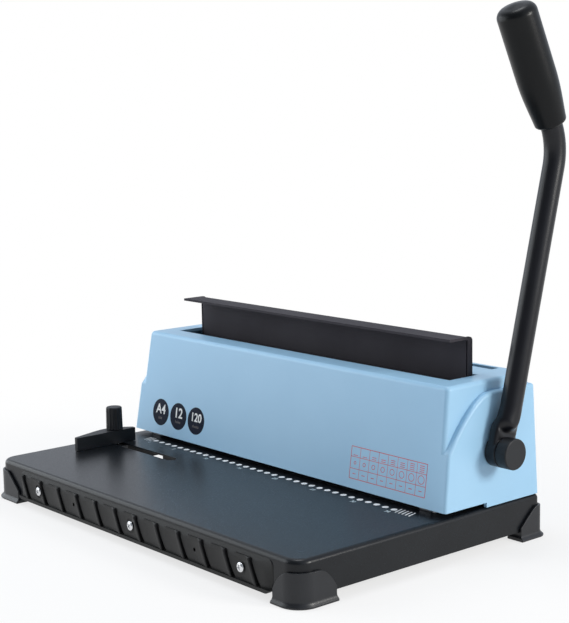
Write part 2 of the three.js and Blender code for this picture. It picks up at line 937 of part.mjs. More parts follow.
// Cross ties: rods shouldered between the side plates
function tieGeometry(y, z) {
  return join(
    rodX(-sideInner + seatGap, sideInner - seatGap, y, z, tieRadius, 16),
    rodX(-sideOuter - seatGap, sideOuter + seatGap, y, z, tieHole, 16),
  );
}
piece("front_tie", tieGeometry(frontTieY, frontTieZ), plainSteel);
piece("rear_tie", tieGeometry(rearTieY, rearTieZ), plainSteel);

// Lower jaw: the fixed anvil that the wire lies on
function lowerJaw() {
  const section = outline([
    [jawFront, jawTop - jawThick - jawLip],
    [jawFront + jawThick, jawTop - jawThick - jawLip],
    [jawFront + jawThick, jawTop - jawThick],
    [jawRear, jawTop - jawThick],
    [jawRear, jawTop],
    [jawFront, jawTop],
  ]);
  return acrossX(section, -sideInner + seatGap, sideInner - seatGap);
}
piece("lower_jaw", lowerJaw(), plainSteel);

// Punch unit

const holePlaces = Array.from({ length: holeCount }, (_, index) => (index - (holeCount - 1) / 2) * holePitch);

function punchHoles(z0, z1) {
  return holePlaces.map((x) => rodZ(x, punchRow, z0 - overrun, z1 + overrun, punchRadius + punchClear, 8));
}

const dieTop = platenTop - dieSink;
const dieBottom = dieTop - dieThick;
piece(
  "die_plate",
  cut(block(-dieHalf, dieHalf, dieFront, dieRear, dieBottom, dieTop), ...punchHoles(dieBottom, dieTop)),
  plainSteel,
);
piece(
  "punch_guide",
  cut(
    block(-dieHalf, dieHalf, dieFront, dieRear, throatTop, guideBlockTop),
    ...punchHoles(throatTop, guideBlockTop),
  ),
  plainSteel,
);
const stopFront = punchRow + stopMargin;
piece(
  "paper_stop",
  block(-stopHalf, stopHalf, stopFront, stopFront + stopDepth, dieTop + seatGap, throatTop - seatGap),
  plainSteel,
);
for (const [name, sign] of bothSides) {
  const [x0, x1] = side(sign, dieHalf - spacerLength, dieHalf);
  piece(
    `throat_spacer_${name}`,
    block(x0, x1, dieFront, dieRear, dieTop + seatGap, throatTop - seatGap),
    plainSteel,
  );
}

function punchBar() {
  const bar = block(-barHalf, barHalf, punchRow - barFront, punchRow + barRear, barBottom, barTop);
  const tip = throatTop + punchTipRise;
  return join(bar, ...holePlaces.map((x) => rodZ(x, punchRow, tip, barBottom + bury, punchRadius, 8)));
}
piece("punch_bar", punchBar(), brightSteel);

// Lifter: the plate that a cam drives, with a tab that its return spring pushes on
const lifterFront = punchRow + barRear + seatGap;

function lifterGeometry(sign) {
  const [x0, x1] = side(sign, lifterInner, lifterInner + lifterThick);
  const [t0, t1] = side(sign, lifterInner - runGap, lifterInner + lifterThick + springRadius);
  const window = block(
    x0 - overrun,
    x1 + overrun,
    shaftY - camThrow - camRadius - runGap,
    camAtRest.y + camRadius + runGap,
    camAtRest.z - camRadius - followClear,
    camAtRest.z + camRadius + followClear,
  );
  return cut(
    join(
      block(x0, x1, lifterFront, lifterRear, barBottom, lifterTop),
      block(t0, t1, springDepth - springRadius, lifterRear, barBottom, barBottom + springTab),
    ),
    window,
  );
}

function springGeometry(sign) {
  const x = sign * (lifterInner + lifterThick / 2);
  return rodZ(x, springDepth, platenTop + seatGap, barBottom - seatGap, springRadius, 16);
}
for (const [name, sign] of bothSides) {
  piece(`punch_lifter_${name}`, lifterGeometry(sign), plainSteel);
  piece(`return_spring_${name}`, springGeometry(sign), brightSteel);
}

// Shaft with its cams, cranks and collar

const tongueInner = cheekFace(shaftZ - hubRadius) + hubWallGap;
const tongueOuter = tongueInner + tongueThick;
const capOuter = tongueInner + hubLength;
const capInner = tongueOuter + seatGap;
const shaftBore = shaftRadius + seatGap;

piece(
  "main_shaft",
  rodX(
    -sideOuter - seatGap - runGap - collarLength,
    capOuter - capSkin - seatGap,
    shaftY,
    shaftZ,
    shaftRadius,
  ),
  brightSteel,
);
piece(
  "shaft_collar",
  cut(
    rodX(
      -sideOuter - seatGap - runGap - collarLength,
      -sideOuter - seatGap - runGap,
      shaftY,
      shaftZ,
      collarRadius,
    ),
    rodX(-baseWidth, 0, shaftY, shaftZ, shaftBore),
  ),
  plainSteel,
);

function camGeometry(sign) {
  const [x0, x1] = side(sign, camInner, camInner + camThick + lifterThick);
  return cut(
    rodX(x0, x1, camAtRest.y, camAtRest.z, camRadius, 32),
    rodX(x0 - overrun, x1 + overrun, shaftY, shaftZ, shaftBore),
  );
}

function crankGeometry(sign) {
  const [x0, x1] = side(sign, crankInner, crankInner + crankThick);
  const [p0, p1] = side(sign, crankInner + bury, carrierInner + carrierThick + runGap);
  const arm = new THREE.Shape();
  const steer = Math.atan2(pinAtRest.z - shaftZ, pinAtRest.y - shaftY);
  arm.absarc(shaftY, shaftZ, shaftRadius + crankWeb / 2, steer + Math.PI / 2, steer + Math.PI * 1.5);
  arm.absarc(pinAtRest.y, pinAtRest.z, crankWeb, steer - Math.PI / 2, steer + Math.PI / 2);
  return cut(
    join(acrossX(arm, x0, x1), rodX(p0, p1, pinAtRest.y, pinAtRest.z, crankPin, 16)),
    rodX(x0 - overrun, x1 + overrun, shaftY, shaftZ, shaftBore),
  );
}
for (const [name, sign] of bothSides) {
  piece(`punch_cam_${name}`, camGeometry(sign), plainSteel);
  piece(`press_crank_${name}`, crankGeometry(sign), plainSteel);
}

// Carrier: hangs from the press plate, rides on the shaft by a long slot and is driven by the crank's pin

const carrierRear = shaftY + shaftRadius + runGap + carrierWall;
const carrierTop = webBottom + tabHeight;
const carrierBottom = shaftZ - shaftRadius - runGap - carrierWall;
const shoulder = jawTop - jawThick - jawLip - runGap;

function carrierGeometry(sign) {
  const [x0, x1] = side(sign, carrierInner, carrierInner + carrierThick);
  const [t0, t1] = side(sign, carrierInner + carrierThick - carrierTab, carrierInner + bury);
  const backed = webRear + seatGap;
  const tab = block(t0, t1, backed, backed + carrierThick, webBottom, carrierTop);
  const shaftSlot = block(
    x0 - overrun,
    x1 + overrun,
    shaftY - shaftRadius - runGap,
    shaftY + shaftRadius + runGap,
    shaftZ - shaftRadius - runGap,
    shaftZ + shaftRadius + runGap + pressStroke,
  );
  const pinSlot = block(
    x0 - overrun,
    x1 + overrun,
    shaftY - crankThrow - crankPin - runGap,
    shaftY,
    pinAtRest.z - crankPin - followClear,
    pinAtRest.z + crankPin + followClear,
  );
  const plate = outline([
    [carrierFront, carrierBottom],
    [carrierRear, carrierBottom],
    [carrierRear, carrierTop],
    [backed, carrierTop],
    [backed, shoulder],
    [carrierFront, shoulder],
  ]);
  return cut(join(acrossX(plate, x0, x1), tab), shaftSlot, pinSlot);
}

function pressPlate() {
  const front = pressFlangeFront;
  const rear = webRear;
  const low = pressTopZ - pressSheet;
  const outer = new THREE.Shape();
  outer.moveTo(front, low);
  outer.lineTo(pressWebFront, low);
  outer.lineTo(pressWebFront, webBottom);
  outer.lineTo(rear, webBottom);
  outer.lineTo(rear, pressTopZ - pressBend);
  outer.absarc(rear - pressBend, pressTopZ - pressBend, pressBend, 0, Math.PI / 2);
  outer.lineTo(front, pressTopZ);
  const returnRear = pressWebFront + pressReturn;
  const end = new THREE.Shape();
  end.moveTo(pressWebFront + bury, webBottom);
  end.lineTo(returnRear, webBottom);
  end.lineTo(returnRear, pressTopZ - pressBend);
  end.absarc(returnRear - pressBend, pressTopZ - pressBend, pressBend, 0, Math.PI / 2);
  end.lineTo(rear - pressBend, pressTopZ);
  end.lineTo(rear - pressBend, low);
  end.lineTo(pressWebFront + bury, low);
  const returns = [-1, 1].map((sign) => acrossX(end, ...side(sign, pressHalf - pressSheet, pressHalf)));
  return join(acrossX(outer, -pressHalf, pressHalf), ...returns);
}
piece("press_plate", pressPlate(), blackPaint);
for (const [name, sign] of bothSides) piece(`press_carrier_${name}`, carrierGeometry(sign), plainSteel);

// Lever tube: round above, flattened to a tongue around the shaft below

const tubeX = tongueInner + tubeRadius;
const leanAngle = THREE.MathUtils.degToRad(leverLean);
const gripAngle = THREE.MathUtils.degToRad(gripLean);
const bendTangent = bendSize * Math.tan((leanAngle + gripAngle) / 2);

// A point and a direction on the lever's middle line, at a length along it from the shaft
function leverLine(length) {
  const straight = leverReach - bendTangent;
  const arc = bendSize * (leanAngle + gripAngle);
  const turned = THREE.MathUtils.clamp(length - straight, 0, arc) / bendSize;
  const angle = leanAngle - turned;
  const first = Math.min(length, straight);
  const rest = Math.max(length - straight - arc, 0);
  const y =
    shaftY +
    first * Math.sin(leanAngle) +
    bendSize * (Math.cos(angle) - Math.cos(leanAngle)) +
    rest * Math.sin(angle);
  const z =
    shaftZ +
    first * Math.cos(leanAngle) +
    bendSize * (Math.sin(leanAngle) - Math.sin(angle)) +
    rest * Math.cos(angle);
  return { y, z, angle };
}

const gripStart = leverReach - bendTangent + bendSize * (leanAngle + gripAngle);

function leverRing(length) {
  const sides = 20;
  const { y, z, angle } = leverLine(length);
  const round = THREE.MathUtils.smoothstep(length, pinchStart, pinchEnd);
  const halfWide = THREE.MathUtils.lerp(hubRadius - hubMargin, tubeRadius, round);
  const halfThick = THREE.MathUtils.lerp(tongueThick / 2, tubeRadius, round);
  const middle = THREE.MathUtils.lerp(tongueInner + tongueThick / 2, tubeX, round);
  const squareness = THREE.MathUtils.lerp(tongueCornerShare, 1, round);
  return Array.from({ length: sides }, (_, index) => {
    const turn = (index / sides) * Math.PI * 2;
    const thick = Math.sign(Math.cos(turn)) * Math.abs(Math.cos(turn)) ** squareness * halfThick;
    const wide = Math.sign(Math.sin(turn)) * Math.abs(Math.sin(turn)) ** squareness * halfWide;
    return new THREE.Vector3(middle + thick, y + wide * Math.cos(angle), z - wide * Math.sin(angle));
  });
}

function leverTube() {
  const sleeveEnd = gripStart + gripSleeveDepth;
  const bendStart = leverReach - bendTangent;
  const lengths = [0, pinchStart / 2, pinchStart];
  const pinchSteps = 6;
  for (let i = 1; i <= pinchSteps; i++) lengths.push(pinchStart + ((pinchEnd - pinchStart) * i) / pinchSteps);
  lengths.push(bendStart);
  const bendSteps = 8;
  for (let i = 1; i <= bendSteps; i++) lengths.push(bendStart + ((gripStart - bendStart) * i) / bendSteps);
  lengths.push(sleeveEnd);
  return cut(
    join(
      skin(lengths.map(leverRing)),
      rodX(tongueInner, tongueOuter, shaftY, shaftZ, hubRadius, 32),
    ),
    rodX(tongueInner - overrun, tongueOuter + overrun, shaftY, shaftZ, shaftBore),
  );
}
piece("lever_tube", leverTube(), blackPaint);

function hubCap() {
  const bevel = capSkin / 3;
  const profile = [
    [0, capOuter],
    [hubRadius - bevel, capOuter],
    [hubRadius, capOuter - bevel],
    [hubRadius, capInner],
    [shaftBore, capInner],
    [shaftBore, capOuter - capSkin],
    [0, capOuter - capSkin],
  ].map(([radius, along]) => new THREE.Vector2(radius, along));
  return new THREE.LatheGeometry(profile.reverse(), 32).rotateZ(-Math.PI / 2).translate(0, shaftY, shaftZ);
}
piece("hub_cap", hubCap(), blackPlastic);

// Grip: a soft sleeve with a tapered lower end, drawn along its axis from its lower end
function gripGeometry() {
  const taperEnd = gripLength * gripTaperShare;
  const bore = tubeRadius + seatGap;
  const boreEnd = gripSleeveDepth + seatGap;
  const [along, outwards] = gripSwellShares;
  const points = [
    [bore, 0],
    [gripNeckRadius - gripNeckRound, 0],
    [gripNeckRadius, gripNeckRound],
    [THREE.MathUtils.lerp(gripNeckRadius, gripRadius, outwards), taperEnd * along],
    [gripRadius, taperEnd],
    [gripRadius, gripLength - gripRound],
  ];
  const roundSteps = 4;
  for (let i = 1; i <= roundSteps; i++) {
    const turn = (i / roundSteps) * (Math.PI / 2);
    points.push([
      gripRadius - gripRound + gripRound * Math.cos(turn),
      gripLength - gripRound + gripRound * Math.sin(turn),
    ]);
  }
  points.push([0, gripLength + gripDome], [0, boreEnd], [bore, boreEnd], [bore, 0]);
  const profile = points.map(([radius, length]) => new THREE.Vector2(radius, length));
  return new THREE.LatheGeometry(profile, 28).rotateX(Math.PI / 2);
}
const grip = piece("lever_grip", gripGeometry(), softGrip);
const gripFoot = leverLine(gripStart);
grip.position.set(tubeX, gripFoot.y, gripFoot.z);
grip.rotation.x = -gripFoot.angle;

// Edge guide, its clamp nut and its knob

const guideFaceX = -guideFace;
const guideRearY = -guideFront + guideLength;
const guideBottom = platenTop + seatGap;
const guideTop = guideBottom + guideHeight;
const studX = guideFaceX - studInset;

function edgeGuide() {
  const wedgeShares = [
    [0.83, 0.406],
    [0.99, 0.59],
    [0.88, 0.795],
  ];
  const plan = outline([
    [guideFaceX, -guideFront],
    [guideFaceX, guideRearY],
    [guideFaceX - guideEndThick, guideRearY],
    ...wedgeShares
      .map(([wide, along]) => [guideFaceX - wide * guideWide, -guideFront + along * guideLength])
      .reverse(),
    [guideFaceX - guideEndThick, -guideFront],
  ]);
  return cut(
    upright(plan, guideBottom, guideTop, guideEdge, 1),
    rodZ(studX, -slotDepth, guideBottom - overrun, guideTop + overrun, studRadius + studClear, 16),
  );
}
piece("edge_guide", edgeGuide(), blackPlastic);

const nutTop = platenTop - sheet - seatGap;
piece(
  "guide_nut",
  cut(
    block(
      studX - nutLength / 2,
      studX + nutLength / 2,
      -slotDepth - nutWidth / 2,
      -slotDepth + nutWidth / 2,
      nutTop - nutThick,
      nutTop,
    ),
    rodZ(studX, -slotDepth, nutTop - nutThick - overrun, nutTop + overrun, studRadius + studClear, 16),
  ),
  plainSteel,
);

function guideKnob() {
  const foot = guideTop + seatGap;
  const head = foot + knobHeight;
  const profile = [
    [0, nutTop - nutThick],
    [studRadius, nutTop - nutThick],
    [studRadius, foot],
    [knobRadius, foot],
    [knobTopRadius, head - knobRound],
    [knobTopRadius - knobRound, head],
    [0, head],
  ].map(([radius, up]) => new THREE.Vector2(radius, up));
  return new THREE.LatheGeometry(profile, 24).rotateX(Math.PI / 2);
}
const knob = piece("guide_knob", guideKnob(), blackPlastic);
knob.position.set(studX, -slotDepth, 0);

// Chip tray and its rails

const flangeBottom = trayTop - trayWall;

function chipTray() {
  const inside = block(
    -trayHalf + trayWall,
    trayHalf - trayWall,
    trayFront + trayWall,
    baseRear - sheet - trayWall,
    trayBottom + trayWall,
    trayTop + overrun,
  );
  const flange = block(
    -trayHalf - trayFlange,
    trayHalf + trayFlange,
    trayFront,
    baseRear - sheet,
    flangeBottom,
    trayTop,
  );
  return cut(
    join(
      block(-trayHalf, trayHalf, trayFront, baseRear, trayBottom, trayTop),
      flange,
      block(
        -trayLipHalf,
        trayLipHalf,
        baseRear - bury,
        baseRear + trayLip,
        trayBottom,
        trayBottom + trayWall,
      ),
    ),
    inside,
  );
}
piece("chip_tray", chipTray(), blackPlastic);

function trayRail(sign) {
  const web = trayHalf + trayFlange + runGap;
  const top = platenTop - sheet - seatGap;
  const ledgeTop = flangeBottom - seatGap;
  const [w0, w1] = side(sign, web, web + railThick);
  const [l0, l1] = side(sign, trayHalf + runGap, web + bury);
  const rear = baseRear - bendRadius - seatGap;
  return join(
    block(w0, w1, railFront, rear, ledgeTop - railThick, top),
    block(l0, l1, railFront, rear, ledgeTop - railThick, ledgeTop),
  );
}
for (const [name, sign] of bothSides) piece(`tray_rail_${name}`, trayRail(sign), plainSteel);

// The group's origin is the centre of its box, on the table
machine.updateMatrixWorld(true);
const box = new THREE.Box3().setFromObject(machine, true);
const part = new THREE.Group();
part.add(machine);
machine.position.set(-(box.min.x + box.max.x) / 2, -(box.min.y + box.max.y) / 2, -box.min.z);

export default part;
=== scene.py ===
import json
import math
import bmesh
import bpy
from mathutils import Matrix, Vector


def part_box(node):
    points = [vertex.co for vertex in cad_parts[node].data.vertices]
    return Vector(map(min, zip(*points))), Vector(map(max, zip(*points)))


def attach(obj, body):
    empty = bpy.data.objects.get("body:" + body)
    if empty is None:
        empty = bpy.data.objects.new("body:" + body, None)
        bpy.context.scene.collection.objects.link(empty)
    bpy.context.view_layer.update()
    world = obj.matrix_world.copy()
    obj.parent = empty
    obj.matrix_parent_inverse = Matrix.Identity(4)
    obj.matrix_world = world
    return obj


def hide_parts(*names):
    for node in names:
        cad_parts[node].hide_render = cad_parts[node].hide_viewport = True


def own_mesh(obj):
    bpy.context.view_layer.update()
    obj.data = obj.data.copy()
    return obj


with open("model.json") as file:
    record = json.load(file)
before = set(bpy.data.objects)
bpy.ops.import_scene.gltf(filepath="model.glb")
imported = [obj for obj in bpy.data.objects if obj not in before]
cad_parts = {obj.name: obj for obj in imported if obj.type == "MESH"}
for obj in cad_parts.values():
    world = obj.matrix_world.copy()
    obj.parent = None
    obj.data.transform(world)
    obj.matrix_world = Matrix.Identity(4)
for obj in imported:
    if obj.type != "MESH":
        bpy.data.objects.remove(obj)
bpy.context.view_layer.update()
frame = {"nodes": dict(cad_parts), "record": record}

# Sizes that several pieces share, in the machine's own millimetres: widths from its middle, depths
# from the row of hole marks and heights from the table
PLATEN = 30.6
SKIRT = 6.4  # the base's lower edge
BASE_HALF = 180.8
BASE_FRONT, BASE_REAR = -122.5, 103
CORNER_FRONT, CORNER_REAR = 12, 4
SEAT = 30.9  # the housing's lower edge
THROAT = 34.2  # its lower edge over the paper
TOP = 116.7
SHAFT_Y, SHAFT_Z = 57, 69.2
HOLES, PITCH = 34, 8.467
GAP = 0.3  # between pieces that lie on one another
WIDE = 200  # half the width of a cutter that is wider than the machine
PAST = 5  # how far a short cutter runs past what it cuts

# The loaded base pan gives the shift to the world's metres
IN_METRE = 1000
pan_low, pan_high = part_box("base_pan")
SHIFT_X = (pan_low.x + pan_high.x) / 2 * IN_METRE
SHIFT_Y = pan_high.y * IN_METRE - BASE_REAR
WORLD = Matrix.Scale(1 / IN_METRE, 4) @ Matrix.Translation((SHIFT_X, SHIFT_Y, 0))


# Meshes from points and faces

def linked(name, data):
    obj = bpy.data.objects.new(name, data)
    bpy.context.scene.collection.objects.link(obj)
    return obj


def reworked(mesh, rework):
    """Hands a mesh's points, edges and faces to a function that changes them."""
    made = bmesh.new()
    made.from_mesh(mesh)
    rework(made)
    made.to_mesh(mesh)
    made.free()


def shape(points, faces):
    def weld(made):
        bmesh.ops.remove_doubles(made, verts=made.verts, dist=1e-4)
        bmesh.ops.recalc_face_normals(made, faces=made.faces)

    mesh = bpy.data.meshes.new("shape")
    mesh.from_pydata([tuple(p) for p in points], [], [tuple(f) for f in faces])
    reworked(mesh, weld)
    return linked("shape", mesh)


def evaluated(obj):
    bpy.context.view_layer.update()
    graph = bpy.context.evaluated_depsgraph_get()
    return bpy.data.meshes.new_from_object(obj.evaluated_get(graph))


def bake(obj):
    mesh = evaluated(obj)
    obj.modifiers.clear()
    old, obj.data = obj.data, mesh
    bpy.data.meshes.remove(old)
    return obj


def combine(obj, others, operation):
    for other in others:
        step = obj.modifiers.new("step", "BOOLEAN")
        step.operation = operation
        step.object = other
        step.solver = "MANIFOLD"
    bake(obj)
    for other in others:
        mesh = other.data
        bpy.data.objects.remove(other)
        bpy.data.meshes.remove(mesh)
    return obj


def minus(obj, *others):
    return combine(obj, others, "DIFFERENCE")


def plus(obj, *others):
    return combine(obj, others, "UNION")


def flatten(obj):
    """Joins the faces that lie in one plane."""
    def join(made):
        bmesh.ops.remove_doubles(made, verts=made.verts, dist=2e-3)
        bmesh.ops.dissolve_limit(
            made, angle_limit=math.radians(0.4), verts=made.verts, edges=made.edges
        )

    reworked(obj.data, join)


def soften(obj, width, segments, angle):
    flatten(obj)
    step = obj.modifiers.new("step", "BEVEL")
    step.width = width
    step.segments = segments
    step.limit_method = "ANGLE"
    step.angle_limit = math.radians(angle)
    step.use_clamp_overlap = True
    step.miter_outer = "MITER_ARC"
    return bake(obj)


def round_edges(obj, width, segments, chosen):
    def bevel(made):
        edges = [e for e in made.edges if chosen(e.verts[0].co, e.verts[1].co)]
        bmesh.ops.bevel(
            made, geom=edges, offset=width, segments=segments, profile=0.5, affect="EDGES",
            clamp_overlap=True
        )

    reworked(obj.data, bevel)


def shade(obj, crease, weighted):
    mesh = obj.data
    mesh.polygons.foreach_set("use_smooth", [True] * len(mesh.polygons))
    mesh.set_sharp_from_angle(angle=math.radians(crease))
    if weighted:
        step = obj.modifiers.new("normals", "WEIGHTED_NORMAL")
        step.keep_sharp = True
        step.weight = 60


def dress(obj, name, body, material, stands_for=(), crease=30, weighted=True):
    obj.name = name
    obj.data.name = name
    obj.data.transform(WORLD)
    obj.data.materials.clear()
    obj.data.materials.append(material)
    shade(obj, crease, weighted)
    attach(obj, body)
    if stands_for:
        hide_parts(*stands_for)


# Basic forms

def block(x0, x1, y0, y1, z0, z1):
    points = [(x, y, z) for z in (z0, z1) for y in (y0, y1) for x in (x0, x1)]
    faces = [(0, 2, 3, 1), (4, 5, 7, 6), (0, 1, 5, 4), (2, 6, 7, 3), (0, 4, 6, 2), (1, 3, 7, 5)]
    return shape(points, faces)


def between(count, start=0):
    """Faces of a closed form between two outlines of equally many points."""
    low, high = range(start, start + count), range(start + count, start + 2 * count)
    following = [(i + 1) % count for i in range(count)]
    sides = [(low[i], low[j], high[j], high[i]) for i, j in enumerate(following)]
    return [tuple(low)[::-1], tuple(high), *sides]


def prism(plan, low, high, place):
    """An outline drawn between two levels; place turns (a, b, level) into a point."""
    points = [place(a, b, level) for level in (low, high) for a, b in plan]
    return shape(points, between(len(plan)))


def up(a, b, level):
    return (a, b, level)


def across(a, b, level):
    return (level, a, b)


def back(a, b, level):
    return (a, level, b)


def about_shaft(a, b, along):
    return (along, SHAFT_Y + a, SHAFT_Z + b)


def loft(rings):
    """A closed skin over rings of equally many points, first ring to last."""
    count = len(rings[0])
    points = [p for ring in rings for p in ring]
    faces = []
    for r in range(len(rings) - 1):
        for i in range(count):
            a, b = r * count + i, r * count + (i + 1) % count
            faces.append((a, b, b + count, a + count))
    faces.append(tuple(range(count))[::-1])
    faces.append(tuple(range(len(points) - count, len(points))))
    return shape(points, faces)


def circle(radius, sides, x=0):
    turns = [2 * math.pi * i / sides for i in range(sides)]
    return [(x + radius * math.cos(t), radius * math.sin(t)) for t in turns]


def turned(profile, sides, place):
    """A profile of (radius, along) turned about an axis; place turns (a, b, along) into a point."""
    rings = []
    for radius, along in profile:
        outline = circle(radius, sides) if radius else [(0, 0)]
        rings.append([place(a, b, along) for a, b in outline])
    points, faces, starts = [], [], []
    for ring in rings:
        starts.append(len(points))
        points += ring
    for r in range(len(rings) - 1):
        a, b = starts[r], starts[r + 1]
        for i in range(sides):
            j = (i + 1) % sides
            if len(rings[r]) == 1:
                faces.append((a, b + j, b + i))
            elif len(rings[r + 1]) == 1:
                faces.append((a + i, a + j, b))
            else:
                faces.append((a + i, a + j, b + j, b + i))
    return shape(points, faces)


def arc(cx, cy, radius, start, end, steps):
    turns = [math.radians(start + (end - start) * i / steps) for i in range(steps + 1)]
    return [(cx + radius * math.cos(t), cy + radius * math.sin(t)) for t in turns]


def rounded(x0, x1, y0, y1, near, far=None, steps=8):
    """A rectangle with round corners; the second radius is for those at the larger y."""
    far = near if far is None else far
    return (
        arc(x1 - near, y0 + near, near, -90, 0, steps)
        + arc(x1 - far, y1 - far, far, 0, 90, steps)
        + arc(x0 + far, y1 - far, far, 90, 180, steps)
        + arc(x0 + near, y0 + near, near, 180, 270, steps)
    )


def rod(start, end, radius, sides, place):
    return turned([(0, start), (radius, start), (radius, end), (0, end)], sides, place)


def rod_y(x, y0, y1, z, radius, sides):
    return rod(y0, y1, radius, sides, lambda a, b, t: (x + a, t, z + b))


def quarter_turn(steps):
    return [math.pi / 2 * i / steps for i in range(steps + 1)]


def rounded_disc(radius, x0, x1, edge):
    """The profile of a disc whose two rims are rounded."""
    turns = quarter_turn(4)
    flat = radius - edge
    profile = [(0, x0), (flat, x0)]
    profile += [(flat + edge * math.sin(t), x0 + edge - edge * math.cos(t)) for t in turns[1:]]
    profile += [(flat + edge * math.cos(t), x1 - edge + edge * math.sin(t)) for t in turns]
    return profile + [(0, x1)]


def curve_through(points, steps):
    """A smooth curve through the given points."""
    made = []
    for i in range(len(points) - 1):
        p0 = points[max(i - 1, 0)]
        p1, p2 = points[i], points[i + 1]
        p3 = points[min(i + 2, len(points) - 1)]
        for k in range(steps):
            t = k / steps
            made.append(tuple(
                0.5 * (
                    2 * b + (c - a) * t + (2 * a - 5 * b + 4 * c - d) * t * t
                    + (3 * b - a - 3 * c + d) * t ** 3
                )
                for a, b, c, d in zip(p0, p1, p2, p3)
            ))
    return made + [points[-1]]


def smooth(value, low, high):
    share = min(max((value - low) / (high - low), 0), 1)
    return share * share * (3 - 2 * share)


def mix(a, b, share):
    return a + (b - a) * share


def bump_at(value, centre, spread):
    return math.exp(-((value - centre) / spread) ** 2)


# Materials

def add_node(tree, kind, values=None):
    """A node of a kind, with values for the named sockets."""
    node = tree.nodes.new(kind)
    for socket, value in (values or {}).items():
        node.inputs[socket].default_value = value
    return node


def noise_node(tree, scale, detail=4.0, roughness=0.55, stretch=(1, 1, 1)):
    place = add_node(tree, "ShaderNodeTexCoord")
    sized = add_node(tree, "ShaderNodeMapping", {"Scale": stretch})
    grain = add_node(tree, "ShaderNodeTexNoise", {
        "Scale": scale, "Detail": detail, "Roughness": roughness
    })
    tree.links.new(place.outputs["Object"], sized.inputs["Vector"])
    tree.links.new(sized.outputs["Vector"], grain.inputs["Vector"])
    return grain.outputs["Fac"]


def ramp(tree, value, low, high):
    """A blend between two (position, colour) stops."""
    node = add_node(tree, "ShaderNodeValToRGB")
    for element, (position, colour) in zip(node.color_ramp.elements, (low, high)):
        element.position, element.color = position, (*colour, 1)
    tree.links.new(value, node.inputs["Fac"])
    return node.outputs["Color"]


def tone(red, green, blue):
    """Linear colour from display values."""
    return tuple(
        (v / 255 / 12.92) if v / 255 <= 0.04045 else ((v / 255 + 0.055) / 1.055) ** 2.4
        for v in (red, green, blue)
    )


def span(tree, value, start, end, low, high, kind="LINEAR"):
    node = add_node(tree, "ShaderNodeMapRange", {
        "From Min": start, "From Max": end, "To Min": low, "To Max": high
    })
    node.interpolation_type = kind
    tree.links.new(value, node.inputs["Value"])
    return node.outputs["Result"]


def finish(name, dark, light, rough, grain_scale, bump, height=0.00001, cloud_scale=18,
           metallic=0.0, specular=0.5, stretch=(1, 1, 1)):
    """A surface with a fine grain, whose colour clouds between two display values."""
    made = bpy.data.materials.new(name)
    made.use_nodes = True
    tree = made.node_tree
    shader = tree.nodes["Principled BSDF"]
    cloud = noise_node(tree, cloud_scale, 3)
    grain = noise_node(tree, grain_scale, 5, 0.6, stretch)
    colour = ramp(tree, cloud, (0.35, tone(*dark)), (0.65, tone(*light)))
    tree.links.new(colour, shader.inputs["Base Color"])
    tree.links.new(span(tree, grain, 0.3, 0.7, *rough), shader.inputs["Roughness"])
    shader.inputs["Metallic"].default_value = metallic
    shader.inputs["Specular IOR Level"].default_value = specular
    relief = add_node(tree, "ShaderNodeBump", {"Strength": bump, "Distance": height})
    tree.links.new(grain, relief.inputs["Height"])
    tree.links.new(relief.outputs["Normal"], shader.inputs["Normal"])
    return made


def paint(name, dark, light, rough, grain_scale, bump, specular, height=0.00004):
    return finish(name, dark, light, rough, grain_scale, bump, height, specular=specular)


def ink(name, dark, light, cloud_scale, rough=(0.5, 0.62), specular=0.5):
    return finish(name, dark, light, rough, 1200, 0.1, cloud_scale=cloud_scale, specular=specular)


def metal(name, dark, light, rough, grain_scale, bump, height, cloud_scale, stretch=(1, 1, 1)):
    return finish(name, dark, light, rough, grain_scale, bump, height, cloud_scale, 1.0,
                  stretch=stretch)


black_paint = paint(
    "black_powder_coat", (12, 15, 19), (18, 21, 25), (0.26, 0.36), 900, 0.2, 0.28, 0.00003
)
press_paint = paint(
    "press_powder_coat", (53, 50, 55), (60, 57, 62), (0.62, 0.74), 1100, 0.3, 0.16
)
lever_paint = paint(
    "lever_powder_coat", (14, 15, 20), (20, 21, 26), (0.28, 0.38), 1000, 0.2, 0.3, 0.00003
)
black_plastic = paint("black_moulded", (16, 18, 22), (23, 25, 29), (0.42, 0.55), 1400, 0.32, 0.34)
foot_plastic = paint("foot_moulded", (22, 24, 28), (29, 31, 35), (0.32, 0.44), 1400, 0.3, 0.42)
panel_plastic = paint("panel_moulded", (16, 16, 16), (22, 22, 22), (0.36, 0.48), 1400, 0.3, 0.26)
grip_plastic = paint(
    "grip_moulded", (8, 10, 12), (13, 15, 17), (0.28, 0.38), 700, 0.15, 0.2, 0.00003
)
blue_shell = finish(
    "blue_moulded", (152, 194, 223), (158, 199, 227), (0.34, 0.44), 1600, 0.12, 0.00002, 9
)
bright_steel = metal(
    "bright_plated", (205, 206, 208), (226, 227, 229), (0.14, 0.28), 500, 0.05, 0.00001, 40
)
# Steel darker than bare steel: its colour holds painted shade for the parts seen inside the
# housing's shadowed mouth
plain_steel = metal(
    "machined_steel_painted_shade", (96, 98, 102), (118, 120, 124), (0.28, 0.46), 220, 0.2, 0.00002, 30,
    (0.15, 4, 4)
)
bronze = metal(
    "sintered_bronze", (150, 118, 66), (178, 142, 84), (0.36, 0.52), 900, 0.3, 0.00002, 60
)
white_print = ink("white_print", (222, 224, 224), (240, 241, 241), 120)
grey_print = ink("grey_print", (168, 186, 192), (196, 210, 214), 160)
faint_print = ink("faint_print", (76, 70, 74), (92, 86, 88), 120)
badge_ink = ink("badge_ink", (16, 25, 42), (28, 34, 50), 80, (0.4, 0.5), 0.06)
red_ink = ink("red_ink", (196, 74, 86), (214, 92, 102), 160, (0.5, 0.6))

